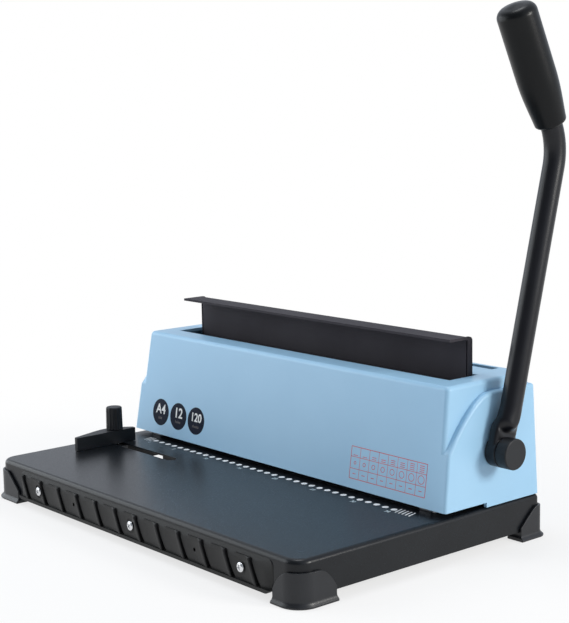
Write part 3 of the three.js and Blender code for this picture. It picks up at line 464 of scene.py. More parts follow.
slots = {
    "black_paint": black_paint, "black_plastic": black_plastic, "grip_plastic": grip_plastic,
    "blue_shell": blue_shell, "bright_steel": bright_steel, "plain_steel": plain_steel,
    "bronze": bronze,
}
slot_of = {entry["node"]: entry["material_slot"] for entry in frame["record"]["subparts"]}
bodies = frame["record"]["behaviour"]["bodies"]
body_of = {node: body for body, names in bodies.items() for node in names}
for name, node in frame["nodes"].items():
    node.data.materials.clear()
    node.data.materials.append(slots[slot_of[name]])


# CAD nodes whose copies get softened edges

for name in (
    "lower_jaw", "paper_stop", "throat_spacer_left", "throat_spacer_right", "guide_nut",
    "tray_rail_left", "tray_rail_right", "chip_tray", "side_plate_left", "side_plate_right",
):
    source = frame["nodes"][name].data
    points = [WORLD.inverted() @ v.co for v in source.vertices]
    copy = shape(points, [tuple(p.vertices) for p in source.polygons])
    soften(copy, 0.35, 2, 40)
    slot = slot_of[name]
    dress(copy, name + "_soft", body_of[name], slots[slot], (name,))


# Base pan: a folded sheet with rounded bends

SHEET, BEND = 1.5, 3.5
SLOT_PLAN = (-172.4, -77.3, -31.25, -22.75, 4)  # left, right, front, rear and corner radius
DIE_HALF, DIE_FRONT, DIE_REAR = 162.8, 12.1, 34.4
TRAY_HALF, TRAY_TOP = 146, 21.8


def pan_body(inset, bottom):
    """The base's form, drawn in by an inset, with its upper edge rounded over."""
    bend, top = BEND - inset, PLATEN - inset

    def ring(extra, z):
        e = inset + extra
        plan = rounded(
            -BASE_HALF + e, BASE_HALF - e, BASE_FRONT + e, BASE_REAR - e,
            CORNER_FRONT - e, max(CORNER_REAR - e, 0.3), 10
        )
        return [(x, y, z) for x, y in plan]

    rings = [ring(0, bottom), ring(0, top - bend)]
    for turn in quarter_turn(8)[1:]:
        rings.append(ring(bend * (1 - math.cos(turn)), top - bend + bend * math.sin(turn)))
    return loft(rings)


pan = minus(
    pan_body(0, SKIRT),
    pan_body(SHEET, SKIRT - PAST),
    prism(rounded(*SLOT_PLAN), PLATEN - PAST, PLATEN + PAST, up),
    block(-DIE_HALF, DIE_HALF, DIE_FRONT, DIE_REAR, PLATEN - PAST, PLATEN + PAST),
    block(-TRAY_HALF, TRAY_HALF, BASE_REAR - 6, BASE_REAR + 6, 0, TRAY_TOP),
)
soften(pan, 0.25, 2, 50)
dress(pan, "base_pan_folded", "root", black_paint, ("base_pan",), 25)


# Corner feet, drawn with the base's corner at the origin

FOOT_LONG, FOOT_SHORT = 30.7, 21.8
FOOT_TOP = 22.6
FOOT_PROUD = 2
FOOT_INSIDE = 10  # from the base's sides to the inner faces of the legs
FLARE = [(2.0, 0), (2.4, 0.5), (2.4, 1.3), (1.7, 1.9), (0.9, 2.6), (0.35, 3.4), (0, 4.5)]
LIP_END = 1
GUSSET_RUN, GUSSET_LOW = 15.5, 9.5
GUSSET_STEPS = 10
ABOVE = 31  # a cutter's level over the feet


def gusset(leg, bulge):
    """The cut over a leg's end, whose slanted edge bulges."""
    shares = [i / GUSSET_STEPS for i in range(GUSSET_STEPS + 1)]
    start, drop = leg - GUSSET_RUN, FOOT_TOP - GUSSET_LOW
    curve = [(start + GUSSET_RUN * s, FOOT_TOP - drop * s ** bulge) for s in shares]
    return [(start, ABOVE)] + curve + [(leg + 7, GUSSET_LOW), (leg + 7, ABOVE)]


def foot(name, corner, x, y, quarter, bulge, flare_share=1.0):
    def ring(spread, z):
        near = -FOOT_PROUD - spread
        radius = corner + FOOT_PROUD + spread
        end = min(spread, LIP_END) * flare_share
        plan = arc(near + radius, near + radius, radius, 180, 270, 10)
        plan += [
            (FOOT_LONG + end, near), (FOOT_LONG + end, FOOT_SHORT + end), (near, FOOT_SHORT + end)
        ]
        return [(a, b, z) for a, b in plan]

    body = minus(
        loft([ring(spread * flare_share, z) for spread, z in FLARE + [(0, FOOT_TOP)]]),
        prism(gusset(FOOT_LONG, bulge), -9, 28.5, back),
        prism(gusset(FOOT_SHORT, bulge), -9, 37.5, across),
        block(FOOT_INSIDE, 40, FOOT_INSIDE, 30, -PAST, 30),
        prism(rounded(-GAP, 90, -GAP, 90, corner + GAP, 4, 10), SKIRT - GAP, 40, up),
    )
    soften(body, 0.8, 3, 35)
    turn = Matrix.Rotation(quarter * math.pi / 2, 4, "Z")
    body.data.transform(Matrix.Translation((x, y, 0)) @ turn)
    dress(body, name + "_moulded", "root", foot_plastic, (name,), 32)


foot("foot_front_left", CORNER_FRONT, -BASE_HALF, BASE_FRONT, 0, 1.1)
foot("foot_front_right", CORNER_FRONT, BASE_HALF, BASE_FRONT, 1, 2.1, 0.62)
foot("foot_rear_right", CORNER_REAR, BASE_HALF, BASE_REAR, 2, 1.1)
foot("foot_rear_left", CORNER_REAR, -BASE_HALF, BASE_REAR, 3, 1.1)


# Front panel with slanted ribs

PANEL_LEFT, PANEL_RIGHT = -146.9, 158.4
PANEL_MIDDLE = (PANEL_LEFT + PANEL_RIGHT) / 2
PANEL_BACK, PANEL_FACE = -122.8, -124.4
PANEL_TOP, PANEL_LOW = 27.0, 5.2
CONTACT = BASE_FRONT - 0.04  # the depth up to which the panel stands against the base
LIP_TOP, LIP_PROUD = PANEL_LOW + 2.4, 1.6
RIBS, RIB_END = 12, 2.6  # how many, and how far from the panel's edges they end
RIB_RISE, RIB_CROWN = 1.5, 0.93  # how far they stand out, and the share where they round over
FIRST_RIB, RIBS_SPAN = PANEL_LEFT + 7.2, 277.9  # from the first rib's step to the last one's
AHEAD, BEHIND = -140, -110  # the cutters' ends, before and behind the panel
SCREW_Z = 16.0
HEAD_ROOM, SHANK_ROOM = 5.2, 1.9  # radii of the openings for a screw's head and shank
screw_places = [PANEL_MIDDLE + step * 123.15 for step in (-1, 0, 1)]
small_places = [PANEL_MIDDLE + step * 73.9 for step in (-1, 1)]


def on_rib(index, share, section, z):
    """A section of (along, out) points at a rib's step, which slants with its share upwards."""
    step = FIRST_RIB + index * RIBS_SPAN / (RIBS - 1) + 7 * (1 - share) - 0.6 * share
    return [(step + along, PANEL_FACE - out, z) for along, out in section]


def rib(index):
    """A low saw tooth that rises to its step and rounds over at its upper end."""
    rings = []
    for share in [i / 10 for i in range(10)] + [RIB_CROWN, 0.96, 0.98, 0.99, 1]:
        z = mix(PANEL_LOW + RIB_END, PANEL_TOP - RIB_END, share)
        rounding = max(0, (share - RIB_CROWN) / (1 - RIB_CROWN))
        rise = RIB_RISE * math.sqrt(1 - rounding ** 2) + 0.02
        low = 0.5 * (1 - smooth(share, 0.8, 0.98))
        section = [
            (-15, -1.2), (-15, 0), (-5, rise * low), (-2.6, rise * (0.42 + 0.8 * low)),
            (-1.3, rise), (-0.4, rise * 0.86), (0, rise * 0.5), (0.1, -1.2),
        ]
        rings.append(on_rib(index, share, section, z))
    return loft(rings)


def groove(index):
    """A narrow recess at the foot of a rib's step, wider at its lower end."""
    rings = []
    low, high = PANEL_LOW + RIB_END, PANEL_TOP - RIB_END
    for i in range(7):
        share = i / 6
        z = mix(low, PANEL_TOP - 4.2, share)
        wide = mix(3.0, 0.9, min(1, share * 2.2) ** 0.6)
        section = [(-0.15, 1), (wide + 0.4, 1), (wide, -0.9), (-0.15, -0.9)]
        rings.append(on_rib(index, (z - low) / (high - low), section, z))
    return loft(rings)


def end_slope(edge, run):
    """A cut that lets the panel's end run out above its lip."""
    face = PANEL_FACE - 0.01
    out = edge + run * 0.01
    plan = [(edge - run, face), (out, CONTACT - 0.03), (out, face - 4), (edge - run, face - 4)]
    return prism(plan if run > 0 else plan[::-1], LIP_TOP, 40, up)


def panel_layer(low, front, rear):
    """The panel's outline from a lower edge up, between two depths."""
    return prism(rounded(PANEL_LEFT, PANEL_RIGHT, low, PANEL_TOP, 5), front, rear, back)


top_slope = [
    (PANEL_FACE - 0.01, 21.2), (CONTACT - 0.03, PANEL_TOP + 0.02),
    (PANEL_FACE - 1, PANEL_TOP + 0.02),
]
panel = panel_layer(PANEL_LOW, PANEL_FACE, PANEL_BACK)
panel_lip = minus(
    panel_layer(PANEL_LOW, PANEL_FACE - LIP_PROUD, PANEL_FACE + 0.8),
    block(-WIDE, WIDE, -130, BEHIND, LIP_TOP, 40),
)
panel = plus(panel, panel_layer(9, PANEL_FACE + 0.8, CONTACT))
panel = minus(panel, prism(top_slope, -WIDE, WIDE, across))
panel = plus(panel, panel_lip, *[rib(i) for i in range(RIBS)])
panel = minus(
    panel,
    *[groove(i) for i in range(RIBS)],
    end_slope(PANEL_RIGHT, 8),
    end_slope(PANEL_LEFT, -5),
    block(-300, PANEL_LEFT, AHEAD, -100, 0, 60),
    block(PANEL_RIGHT, 300, AHEAD, -100, 0, 60),
    *[rod_y(x, AHEAD, PANEL_FACE, SCREW_Z, HEAD_ROOM, 32) for x in screw_places],
    *[rod_y(x, AHEAD, BEHIND, SCREW_Z, SHANK_ROOM, 20) for x in screw_places],
    *[rod_y(x, AHEAD, BEHIND, SCREW_Z, 1.4, 20) for x in small_places],
)
soften(panel, 0.22, 2, 28)
dress(panel, "front_panel_ribbed", "root", panel_plastic, ("front_panel",), 28)


# Screws with a cross recess

SHANK, SHANK_END = 1.6, 7


def pan_screw(name, head, height, place, turn):
    """The seat is at the origin, the head towards -Y and the shank towards +Y."""
    profile = [(0, -height)]
    for rise in quarter_turn(8)[1:]:
        profile.append((head * math.sin(rise) ** 0.8, -height * math.cos(rise) ** 0.55))
    profile += [(head, 0), (SHANK, 0), (SHANK, SHANK_END), (0, SHANK_END)]
    arm, half = head * 0.52, head * 0.11
    crown, recess = -height - 1, -height * 0.45
    body = minus(
        turned(profile, 32, back),
        block(-arm, arm, crown, recess, -half, half),
        block(-half, half, crown, recess, -arm, arm),
    )
    body.data.transform(place @ Matrix.Rotation(turn, 4, "Y"))
    dress(body, name + "_cross", "root", bright_steel, (name,))


for index, x in enumerate(screw_places):
    place = Matrix.Translation((x, PANEL_FACE - GAP, SCREW_Z))
    pan_screw(f"panel_screw_{index + 1}", 3.4, 1.8, place, 0.35 + index * 0.5)


# Housing shell

UPPER_HALF, LOWER_HALF = 175.7, 180.4
DRAW_IN = 4.4  # how far each side leans inwards, over the housing's height
WALL = 2.5
FRONT_START, FRONT_RUN = 7.4, 12.6  # the front's depth at the throat, and its run to the top
REAR_START, REAR_RUN = 102, 0.6  # the rear's depth at the seat, and its run to the top
FRONT_LEAN = math.atan(FRONT_RUN / (TOP - THROAT))
REAR_LEAN = math.atan(REAR_RUN / (TOP - SEAT))
MOUTH = (155, 38.5, 66.5)  # half width, front and rear of an opening in the top
WIRE_SLOT = (148.7, 88.45, 95.95)
SERVICE_HOLE = (-142, 142, 92, 112, 50.6, 88.6)  # behind the rear cover
THROAT_REAR = 48
CUT_LOW = 20.0  # where the forms end, below the seat
NEAR, PAST_CORNER = 0.02, 0.5  # tolerances for finding an opening's edges

# The upper edge of the lower sides: its ends, and its points as shares of its run and climb
LEDGE_LOW = 72
LEDGE_END_Y, LEDGE_END_Z = 61, 109
LEDGE = [
    (0, 0), (0.078, 0.122), (0.189, 0.319), (0.392, 0.603), (0.598, 0.832), (0.77, 0.954),
    (0.9, 0.99), (1, 1),
]


def front_face(z):
    return FRONT_START + FRONT_RUN * (z - THROAT) / (TOP - THROAT)


def rear_face(z):
    return REAR_START - REAR_RUN * (z - SEAT) / (TOP - SEAT)


def housing_form(half, plan, inset, edge):
    """A side view drawn from side to side, its edges rounded and its sides leaning inwards."""
    body = prism(plan, -half + inset, half - inset, across)
    if edge:
        soften(body, *edge)
    for vertex in body.data.vertices:
        vertex.co.x *= 1 - DRAW_IN * (vertex.co.z - THROAT) / ((TOP - SEAT) * half)
    return body


def housing_body(inset, low, upper_edge=None, lower_edge=None):
    """The housing's form, drawn in by an inset; an edge is the width, segments and angle."""
    top, start_y = TOP - inset, front_face(LEDGE_LOW)
    foot_line = [(front_face(low) + inset, low), (rear_face(low) - inset, low)]
    upper = foot_line + [(rear_face(top) - inset, top), (front_face(top) + inset, top)]
    sweep = [
        (mix(start_y, LEDGE_END_Y, a) + inset, mix(LEDGE_LOW, LEDGE_END_Z, b) - inset)
        for a, b in curve_through(LEDGE, 3)
    ]
    lower = foot_line + [(rear_face(LEDGE_END_Z) - inset, LEDGE_END_Z - inset)] + sweep[::-1]
    return plus(
        housing_form(UPPER_HALF, upper, inset, upper_edge),
        housing_form(LOWER_HALF, lower, inset, lower_edge),
    )


def mouth_edge(a, b):
    """Says whether an edge of the shell runs round the mouth or the wire slot in its top."""
    if min(a.z, b.z) < TOP - NEAR:
        return False
    middle = (a + b) / 2
    x, y = middle.x, middle.y
    for half, front, rear in (MOUTH, WIRE_SLOT):
        on_side = abs(abs(x) - half) < NEAR and front - PAST_CORNER < y < rear + PAST_CORNER
        on_run = min(abs(y - front), abs(y - rear)) < NEAR and abs(x) < half + PAST_CORNER
        if on_side or on_run:
            return True
    return False


shell = minus(
    housing_body(0, CUT_LOW, (3.2, 6, 30), (2.2, 5, 38)),
    housing_body(WALL, CUT_LOW - PAST),
    block(-220, 220, -60, 160, CUT_LOW - 9, SEAT),
    block(-220, 220, -60, THROAT_REAR, CUT_LOW - 9, THROAT),
    *[
        block(-half, half, front, rear, TOP - 9, TOP + 9)
        for half, front, rear in (MOUTH, WIRE_SLOT)
    ],
    block(*SERVICE_HOLE),
    rod(165, 190, 7.5, 40, about_shaft),
)
flatten(shell)
round_edges(shell, 1.1, 4, mouth_edge)
dress(shell, "housing_moulded", "root", blue_shell, ("housing_shell",), 40)


# Rear cover and its screws

COVER_Z, COVER_SHEET = 69.6, 2
cover_holes = [(x, z) for x in (-146, 146) for z in (46.6, 92.6)]


def on_rear(x, z, out=0.0):
    return Matrix.Translation((x, rear_face(z) + out, z)) @ Matrix.Rotation(REAR_LEAN, 4, "X")


cover = prism(rounded(-150, 150, -27, 27, 3), GAP, GAP + COVER_SHEET, back)
cover.data.transform(on_rear(0, COVER_Z))
cover = minus(cover, *[rod_y(x, 90, 120, z, SHANK_ROOM, 20) for x, z in cover_holes])
soften(cover, 0.5, 2, 40)
dress(cover, "rear_cover_plate", "root", blue_shell, ("rear_cover",))
for number, (x, z) in enumerate(cover_holes, 1):
    place = on_rear(x, z, COVER_SHEET + 2 * GAP) @ Matrix.Rotation(math.pi, 4, "Z")
    pan_screw(f"cover_screw_{number}", 3, 1.6, place, 0.4 * number)


# Press plate: folded sheet with returned ends

PRESS_HALF, PRESS_SHEET, PRESS_BEND = 152.5, 1.8, 3
PRESS_LOW, PRESS_UNDER, PRESS_TOP = 100, 141.9, 143.7
PRESS_FRONT, PRESS_REAR, RETURN_REAR = 42, 61.8, 64.3
WEB = PRESS_REAR - PRESS_SHEET  # the web's front side
RETURN_IN, RETURN_FRONT = PRESS_HALF - PRESS_SHEET, WEB + 0.8


def press_back(rear):
    """The rear side and the bend over it."""
    bend = arc(rear - PRESS_BEND, PRESS_TOP - PRESS_BEND, PRESS_BEND, 0, 90, 8)
    return [(rear, PRESS_LOW)] + bend


press_plan = [(PRESS_FRONT, PRESS_UNDER)]
press_plan += arc(WEB - PRESS_SHEET, PRESS_UNDER - PRESS_SHEET, PRESS_SHEET, 90, 0, 4)
press_plan += [(WEB, PRESS_LOW)] + press_back(PRESS_REAR) + [(PRESS_FRONT, PRESS_TOP)]
return_plan = [(RETURN_FRONT, PRESS_LOW)] + press_back(RETURN_REAR)
return_plan += [
    (PRESS_REAR - PRESS_BEND, PRESS_TOP), (PRESS_REAR - PRESS_BEND, PRESS_UNDER),
    (RETURN_FRONT, PRESS_UNDER),
]
press = plus(
    prism(press_plan, -PRESS_HALF, PRESS_HALF, across),
    prism(return_plan, -PRESS_HALF, -RETURN_IN, across),
    prism(return_plan, RETURN_IN, PRESS_HALF, across),
)
seams = [block(*ends, 59, 61.1, 90, 140.9) for ends in ((-151.6, -150.5), (150.5, 151.6))]
press = minus(press, *seams)
soften(press, 0.3, 2, 40)
dress(press, "press_plate_folded", "press_carriage", press_paint, ("press_plate",))


# Lever tube: round above and crushed flat around the shaft below

TONGUE_IN, TONGUE_OUT, TONGUE_HALF = 179.56, 188.56, 4.5
TUBE_RADIUS, HUB_RADIUS = 7.5, 10.75
TUBE_X = TONGUE_IN + TUBE_RADIUS
LEAN, GRIP_LEAN = math.radians(14.8), math.radians(26.1)
CURVE_RADIUS = 42
STRAIGHT = 211.8 - CURVE_RADIUS * math.tan((LEAN + GRIP_LEAN) / 2)
CURVE = CURVE_RADIUS * (LEAN + GRIP_LEAN)
GRIP_START = STRAIGHT + CURVE


def lever_line(length):
    """The tube's middle at a length from the shaft: depth, height and lean."""
    angle = LEAN - min(max(length - STRAIGHT, 0), CURVE) / CURVE_RADIUS
    first = min(length, STRAIGHT)
    rest = max(length - STRAIGHT - CURVE, 0)
    y = SHAFT_Y + first * math.sin(LEAN) + CURVE_RADIUS * (math.cos(angle) - math.cos(LEAN))
    z = SHAFT_Z + first * math.cos(LEAN) + CURVE_RADIUS * (math.sin(LEAN) - math.sin(angle))
    return y + rest * math.sin(angle), z + rest * math.cos(angle), angle


def power(value, exponent):
    """A power that keeps the sign."""
    return math.copysign(abs(value) ** exponent, value)


def lever_ring(length):
    y, z, angle = lever_line(length)
    whole = smooth(length, 12, 33)
    ring = []
    for c, s in circle(1, 64):
        front, rear = max(-s, 0) ** 1.5, max(s, 0)
        here = smooth(length, 12.5 + 4 * front - 4 * rear, 18.5 + 7 * front + 23 * rear)
        fold = length - 15 - 6 * front - rear
        wide = power(s, mix(0.6, 1, whole)) * mix(10.5, TUBE_RADIUS, whole)
        thick = power(c, mix(0.45, 1, here)) * mix(TONGUE_HALF, TUBE_RADIUS, here)
        middle = mix(TONGUE_IN + TONGUE_HALF, TUBE_X, here)
        swell = 0.4 * bump_at(fold, -6.2, 2.4) - 0.65 * bump_at(fold, -2.2, 1.7)
        x = middle + thick + swell * max(c, 0) ** 1.2 * (1 - 0.9 * rear)
        ring.append((x, y + wide * math.cos(angle), z - wide * math.sin(angle)))
    return ring


lengths = [3, 5] + [7 + i * 0.7 for i in range(42)]
lengths += [mix(lengths[-1], STRAIGHT, i / 12) for i in range(1, 13)]
lengths += [STRAIGHT + CURVE * i / 24 for i in range(1, 25)] + [GRIP_START + 30, GRIP_START + 60]
tube = loft([lever_ring(length) for length in lengths])
dress(tube, "lever_tube_bent", "lever", lever_paint, ("lever_tube",), 60, False)

hub = turned(rounded_disc(HUB_RADIUS, TONGUE_IN, TONGUE_OUT, 0.7), 64, about_shaft)
dress(hub, "lever_hub", "lever", lever_paint, (), 40)
cap = turned(rounded_disc(HUB_RADIUS, TONGUE_OUT + GAP, TONGUE_IN + 18.8, 1.0), 64, about_shaft)
dress(cap, "hub_cap_moulded", "lever", black_plastic, ("hub_cap",), 40)


# Grip: radius and distance from its lower end

GRIP_LOW_RADIUS, GRIP_RADIUS, GRIP_ROUND = 11, 13.7, 2.2
GRIP_TAPER_END, GRIP_CROWN = 36.1, 79.5

grip_profile = [(0, 0.2), (7.6, 0.2), (7.8, 0), (8.8, 0)]
for t in quarter_turn(6)[1:]:
    grip_profile.append((8.8 + GRIP_ROUND * math.sin(t), GRIP_ROUND - GRIP_ROUND * math.cos(t)))
for i in range(1, 13):
    share = i / 12
    radius = mix(GRIP_LOW_RADIUS, GRIP_RADIUS, math.sin(share * math.pi / 2) ** 1.15)
    grip_profile.append((radius, mix(GRIP_ROUND, GRIP_TAPER_END, share)))
grip_profile += [(GRIP_RADIUS, 55), (GRIP_RADIUS, GRIP_CROWN)]
for t in quarter_turn(10)[1:-1]:
    grip_profile.append((7.2 + 6.5 * math.cos(t), GRIP_CROWN + 6.3 * math.sin(t)))
grip_profile += [(7.0, 85.9), (6.0, 86.2), (4.0, 86.7), (2.0, 87.0), (0, 87.1)]
grip_y, grip_z, grip_angle = lever_line(GRIP_START)
grip_place = Matrix.Translation((TUBE_X, grip_y, grip_z)) @ Matrix.Rotation(-grip_angle, 4, "X")
grip = turned(grip_profile, 64, up)
grip.data.transform(grip_place)
dress(grip, "lever_grip_moulded", "lever", grip_plastic, ("lever_grip",), 40)


# Edge guide and its clamp knob

GUIDE_FACE, GUIDE_FRONT, GUIDE_TOP = -153.1, -68.7, 41.7
STUD_X, STUD_Y = GUIDE_FACE - 6.6, -27
FLUTES = 13

# The guide's widths, each with its distance from the front
WEDGE = [(3.6, 1.4), (10.873, 24.15), (13.068, 34.5), (11.616, 46), (3.6, 57.5)]

# The knob's radii, each with its height and the flutes' share of their depth
KNOB_LEVELS = [
    (2.5, 24.0, 0), (2.5, 42.0, 0), (6.5, 42.0, 0), (6.8, 42.4, 0.3), (6.8, 43.2, 1),
    (6.68, 50, 1), (6.55, 57.6, 1), (6.5, 59.2, 0.7), (6.35, 59.9, 0.3), (5.9, 60.35, 0),
    (5.2, 60.5, 0),
]


def about_stud(a, b, level):
    return (STUD_X + a, STUD_Y + b, level)


def knob_ring(radius, level, depth):
    ring = []
    for i in range(10 * FLUTES):
        turn = 2 * math.pi * i / (10 * FLUTES)
        r = radius - 0.5 * depth * (0.5 + 0.5 * math.cos(FLUTES * turn)) ** 2
        ring.append(about_stud(r * math.cos(turn), r * math.sin(turn), level))
    return ring


guide_plan = [(GUIDE_FACE, -67.3), (GUIDE_FACE, -11.2)]
guide_plan += [(GUIDE_FACE - a, GUIDE_FRONT + b) for a, b in curve_through(WEDGE, 5)[::-1]]
guide = prism(guide_plan, PLATEN + GAP, GUIDE_TOP, up)
guide = minus(guide, rod(20, 60, 2.9, 32, about_stud))
soften(guide, 0.8, 4, 40)
dress(guide, "edge_guide_moulded", "paper_guide", black_plastic, ("edge_guide",))

knob = loft([knob_ring(*level) for level in KNOB_LEVELS])
dress(
    knob, "guide_knob_fluted", "guide_clamp", black_plastic, ("guide_knob",), 40
)


# Return springs: coils drawn between the ends of the springs' CAD parts

COILS, COIL_STEPS, COIL_RADIUS, WIRE = 7, 24, 4.1, 0.75


def coil(name, x, y, low, high):
    rings = []
    total = COILS * COIL_STEPS
    for i in range(total + 1):
        share = i / total
        climb = share - math.sin(2 * math.pi * share) / (2 * math.pi) * 0.35
        turn = 2 * math.pi * COILS * share
        out = Vector((math.cos(turn), math.sin(turn), 0))
        centre = Vector((
            x + COIL_RADIUS * math.cos(turn), y + COIL_RADIUS * math.sin(turn),
            mix(low + WIRE, high - WIRE, climb),
        ))
        rings.append([centre + out * WIRE * c + Vector((0, 0, WIRE * s)) for c, s in circle(1, 8)])
    spring = loft(rings)
    dress(spring, name + "_coil", "root", bright_steel, (name,), 60, False)
    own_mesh(spring)


for name in ("return_spring_left", "return_spring_right"):
    low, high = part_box(name)
    low, high = WORLD.inverted() @ low, WORLD.inverted() @ high
    coil(name, (low.x + high.x) / 2, (low.y + high.y) / 2, low.z, high.z)


# Printed marks on the platen

PRINT = PLATEN + 0.04
dots = [(i - (HOLES - 1) / 2) * PITCH for i in range(HOLES)]
numbered = [(str(n), dots[n - 1], -6.6) for n in (1, 5, 10, 15, 20, 25, 30, 34)]
ticks = [-144.4 - k * 3.2 for k in range(3)] + [144.4 + k * 3.2 for k in range(5)]


def prints(outlines, low, high):
    """Thin flat forms with the given outlines, between two levels."""
    points, faces = [], []
    for outline in outlines:
        faces += between(len(outline), len(points))
        points += [(a, b, z) for z in (low, high) for a, b in outline]
    return shape(points, faces)


def lettering(words, size, place, bold):
    """The words are (text, x, y) in the plane that place lays on the part."""
    points, faces = [], []
    for text, x, y in words:
        font = bpy.data.curves.new("words", "FONT")
        font.body = text
        font.size = size
        font.extrude = 0.02
        font.offset = bold
        font.align_x = "CENTER"
        font.align_y = "CENTER"
        holder = linked("words", font)
        mesh = evaluated(holder)
        start = len(points)
        points += [place @ Vector((v.co.x + x, v.co.y + y, v.co.z)) for v in mesh.vertices]
        faces += [tuple(start + k for k in p.vertices) for p in mesh.polygons]
        bpy.data.objects.remove(holder)
        bpy.data.curves.remove(font)
        bpy.data.meshes.remove(mesh)
    return shape(points, faces)


def dress_print(obj, name, ink_used):
    dress(obj, name, "root", ink_used, (), 40, False)


dress_print(
    prints([circle(2.35, 28, x) for x in dots], PLATEN, PRINT),
    "hole_marks", white_print
)
dress_print(
    lettering(numbered, 4.4, Matrix.Translation((0, 0, PRINT)), 0.12),
    "hole_numbers", grey_print
)
dress_print(
    prints(
        [[(x + 0.2, -4.4), (x + 1.1, -4.4), (x - 1.1, 4.6), (x - 2.0, 4.6)] for x in ticks],
        PLATEN, PRINT
    ),
    "edge_ticks", white_print
)


# Badges and a size chart on the front of the housing

BADGE_Z = 52.3
CHART_HALF, CHART_HIGH, COLUMNS = 37.2, 11.4, 8
COLUMN = 2 * CHART_HALF / COLUMNS


def on_front(x, z, out=0.0):
    turn = Matrix.Rotation(math.pi / 2 - FRONT_LEAN, 4, "X")
    return Matrix.Translation((x, front_face(z), z)) @ turn @ Matrix.Translation((0, 0, out))


def strip(start, end, wide):
    """A flat stroke between two points of the chart."""
    (x0, y0), (x1, y1) = start, end
    along = Vector((x1 - x0, y1 - y0, 0)).normalized()
    off = Vector((-along.y, along.x, 0)) * wide / 2
    a, b = Vector((x0, y0, 0)), Vector((x1, y1, 0))
    return [a - off, b - off, b + off, a + off]


def strips_round(outline, wide):
    return [strip(a, b, wide) for a, b in zip(outline, outline[1:] + outline[:1])]


badges = [
    (-146.0, "A4", 11.0, "size"), (-121.5, "12", 11.4, "holes"), (-97.5, "120", 9.6, "sheets")
]
for index, (x, number, size, word) in enumerate(badges, 1):
    disc = prints([circle(11, 56)], 0, 0.06)
    disc.data.transform(on_front(x, BADGE_Z))
    dress_print(disc, f"badge_{index}", badge_ink)
    place = on_front(x, BADGE_Z, 0.1)
    upper = lettering([(number, 0, 2.4)], size, place, 0.22)
    dress_print(upper, f"badge_{index}_number", white_print)
    lower = lettering([(word, 0, -4.6)], 3.4, place, 0.05)
    dress_print(lower, f"badge_{index}_word", faint_print)

frame_line = [
    (-CHART_HALF, -CHART_HIGH), (CHART_HALF, -CHART_HIGH), (CHART_HALF, CHART_HIGH),
    (-CHART_HALF, CHART_HIGH),
]
chart = strips_round(frame_line, 0.5)
chart += [strip((-CHART_HALF, y), (CHART_HALF, y), 0.4) for y in (4.2, -4.2)]
for k in range(1, COLUMNS):
    x = -CHART_HALF + k * COLUMN
    chart.append(strip((x, -CHART_HIGH), (x, CHART_HIGH), 0.35))
for k in range(COLUMNS):
    x = -CHART_HALF + (k + 0.5) * COLUMN
    chart += strips_round(circle(1.0 + 0.27 * k, 20, x), 0.45)
    chart.append(strip((x - 1.6, -7.8), (x + 1.6, -7.8), 0.5))
    for line in range(1 + k // 2):
        y = 5.4 + line * 1.35
        chart.append(strip((x - 2.2, y), (x + 2.2, y), 0.45))
chart_place = on_front(123, 52.4, 0.05)
chart_points = [tuple(chart_place @ p) for quad in chart for p in quad]
chart_mesh = bpy.data.meshes.new("chart")
chart_mesh.from_pydata(
    chart_points, [], [tuple(range(i * 4, i * 4 + 4)) for i in range(len(chart))]
)
dress_print(linked("chart", chart_mesh), "size_chart", red_ink)


# Camera at the photograph's view

CAMERA_PLACE = (0.81505, -0.66326, 0.30877)
yaw, pitch, roll = math.radians(49.923), math.radians(8.40), math.radians(-1.077)
camera_data = bpy.data.cameras.new("camera")
camera_data.sensor_width = 36
camera_data.lens = 83.652
camera_data.clip_start = 0.01
camera_data.clip_end = 50
camera = linked("camera", camera_data)
bpy.context.scene.camera = camera
behind = Vector((
    math.sin(yaw) * math.cos(pitch), -math.cos(yaw) * math.cos(pitch), math.sin(pitch)
))
right = (-behind).cross(Vector((0, 0, 1))).normalized()
above = right.cross(-behind)
c, s = math.cos(roll), math.sin(roll)
side, top = c * right + s * above, -s * right + c * above
camera.matrix_world = Matrix((
    *zip(side, top, behind, CAMERA_PLACE),
    (0, 0, 0, 1),
))


# Floor, backdrop and lights

def larger(tree, one, other):
    node = add_node(tree, "ShaderNodeMath")
    node.operation = "MAXIMUM"
    tree.links.new(one, node.inputs[0])
    tree.links.new(other, node.inputs[1])
    return node.outputs[0]


def seen_directly(tree):
    """1 for rays from the camera, mirrors and glass, 0 for light that falls on the object."""
    rays = add_node(tree, "ShaderNodeLightPath").outputs
    seen = larger(tree, rays["Is Camera Ray"], rays["Is Glossy Ray"])
    return larger(tree, seen, rays["Is Transmission Ray"])


world = bpy.data.worlds.new("studio")
bpy.context.scene.world = world
world.use_nodes = True
tree = world.node_tree
ground = tree.nodes["Background"]
rays = add_node(tree, "ShaderNodeLightPath").outputs

# Mirrors see a backdrop that is darker towards the front
heading = add_node(tree, "ShaderNodeTexCoord")
toward = add_node(tree, "ShaderNodeVectorMath")
toward.operation = "DOT_PRODUCT"
toward.inputs[1].default_value = (-0.1, -0.99, 0.1)
tree.links.new(heading.outputs["Generated"], toward.inputs[0])
mirrored = span(tree, toward.outputs["Value"], 0.1, 0.7, 0.9, 0.22, "SMOOTHSTEP")
fill = add_node(tree, "ShaderNodeMapRange", {"To Min": 0.42})
tree.links.new(rays["Is Glossy Ray"], fill.inputs["Value"])
tree.links.new(mirrored, fill.inputs["To Max"])

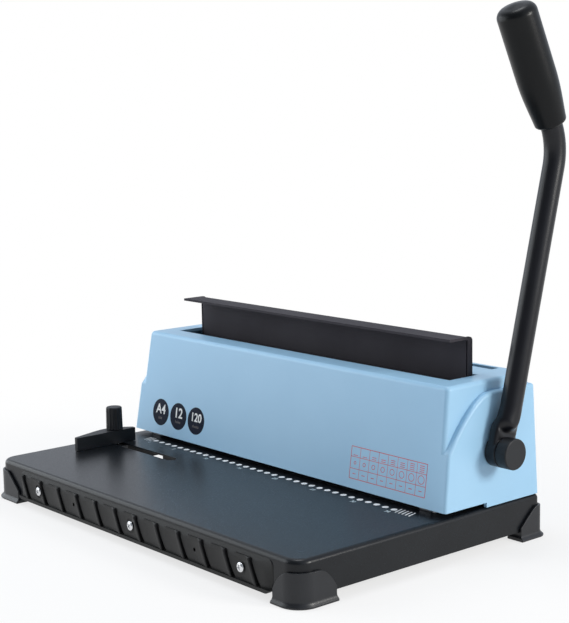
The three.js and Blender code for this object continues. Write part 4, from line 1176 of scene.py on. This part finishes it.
# The camera sees plain white, and the object is lit a little bluer
cool = add_node(tree, "ShaderNodeMix")
cool.data_type = "RGBA"
cool.inputs["A"].default_value = (0.9, 0.96, 1.06, 1)
cool.inputs["B"].default_value = (1, 1, 1, 1)
tree.links.new(rays["Is Camera Ray"], cool.inputs["Factor"])
tree.links.new(cool.outputs["Result"], ground.inputs["Color"])
strength = add_node(tree, "ShaderNodeMapRange", {"To Max": 1.0})
tree.links.new(rays["Is Camera Ray"], strength.inputs["Value"])
tree.links.new(fill.outputs["Result"], strength.inputs["To Min"])
tree.links.new(strength.outputs["Result"], ground.inputs["Strength"])

FLOOR_HALF, FLOOR_Z = 6000, -0.2
floor = shape(
    [(a * FLOOR_HALF, b * FLOOR_HALF, FLOOR_Z) for a, b in ((-1, -1), (1, -1), (1, 1), (-1, 1))],
    [(0, 1, 2, 3)]
)
floor.data.transform(Matrix.Scale(1 / IN_METRE, 4))
floor.name = "floor"
floor_paint = bpy.data.materials.new("floor")
floor_paint.use_nodes = True
tree = floor_paint.node_tree
shader = tree.nodes["Principled BSDF"]
shader.inputs["Roughness"].default_value = 0.9
shader.inputs["Specular IOR Level"].default_value = 0.1
cloud = ramp(tree, noise_node(tree, 2), (0.3, (0.86, 0.86, 0.86)), (0.7, (0.9, 0.9, 0.9)))
tree.links.new(cloud, shader.inputs["Base Color"])

# What looks at the floor sees a glow that grows to full white away from the object
glow = add_node(tree, "ShaderNodeEmission", {"Strength": 1.0})
place = add_node(tree, "ShaderNodeTexCoord")
reach = add_node(tree, "ShaderNodeVectorMath")
reach.operation = "LENGTH"
tree.links.new(place.outputs["Object"], reach.inputs[0])
fade = span(tree, reach.outputs["Value"], 0.2, 0.55, 0.72, 1.0, "SMOOTHSTEP")
share = add_node(tree, "ShaderNodeMath")
share.operation = "MULTIPLY"
tree.links.new(seen_directly(tree), share.inputs[0])
tree.links.new(fade, share.inputs[1])
blend = add_node(tree, "ShaderNodeMixShader")
tree.links.new(share.outputs[0], blend.inputs["Fac"])
tree.links.new(shader.outputs["BSDF"], blend.inputs[1])
tree.links.new(glow.outputs["Emission"], blend.inputs[2])
tree.links.new(blend.outputs["Shader"], tree.nodes["Material Output"].inputs["Surface"])
floor.data.materials.append(floor_paint)


def lamp(name, place, target, wide, high, power, colour):
    data = bpy.data.lights.new(name, "AREA")
    data.shape = "RECTANGLE"
    data.size = wide
    data.size_y = high
    data.energy = power
    data.color = colour
    obj = linked(name, data)
    obj.location = place
    obj.rotation_mode = "QUATERNION"
    obj.rotation_quaternion = (Vector(target) - Vector(place)).to_track_quat("-Z", "Y")


lamp("key", (1.4, 0.55, 0.62), (0.1, 0, 0.1), 0.42, 0.42, 14.5, (1, 0.97, 0.92))
lamp("top", (-0.1, 0.0, 1.8), (0, 0, 0.1), 0.7, 0.5, 9, (0.96, 0.98, 1))
lamp("front", (-1.1, -0.75, 0.55), (-0.1, 0, 0.1), 1.5, 1.0, 12, (0.92, 0.97, 1))

scene = bpy.context.scene
scene.view_settings.view_transform = "Standard"

bpy.context.view_layer.update()
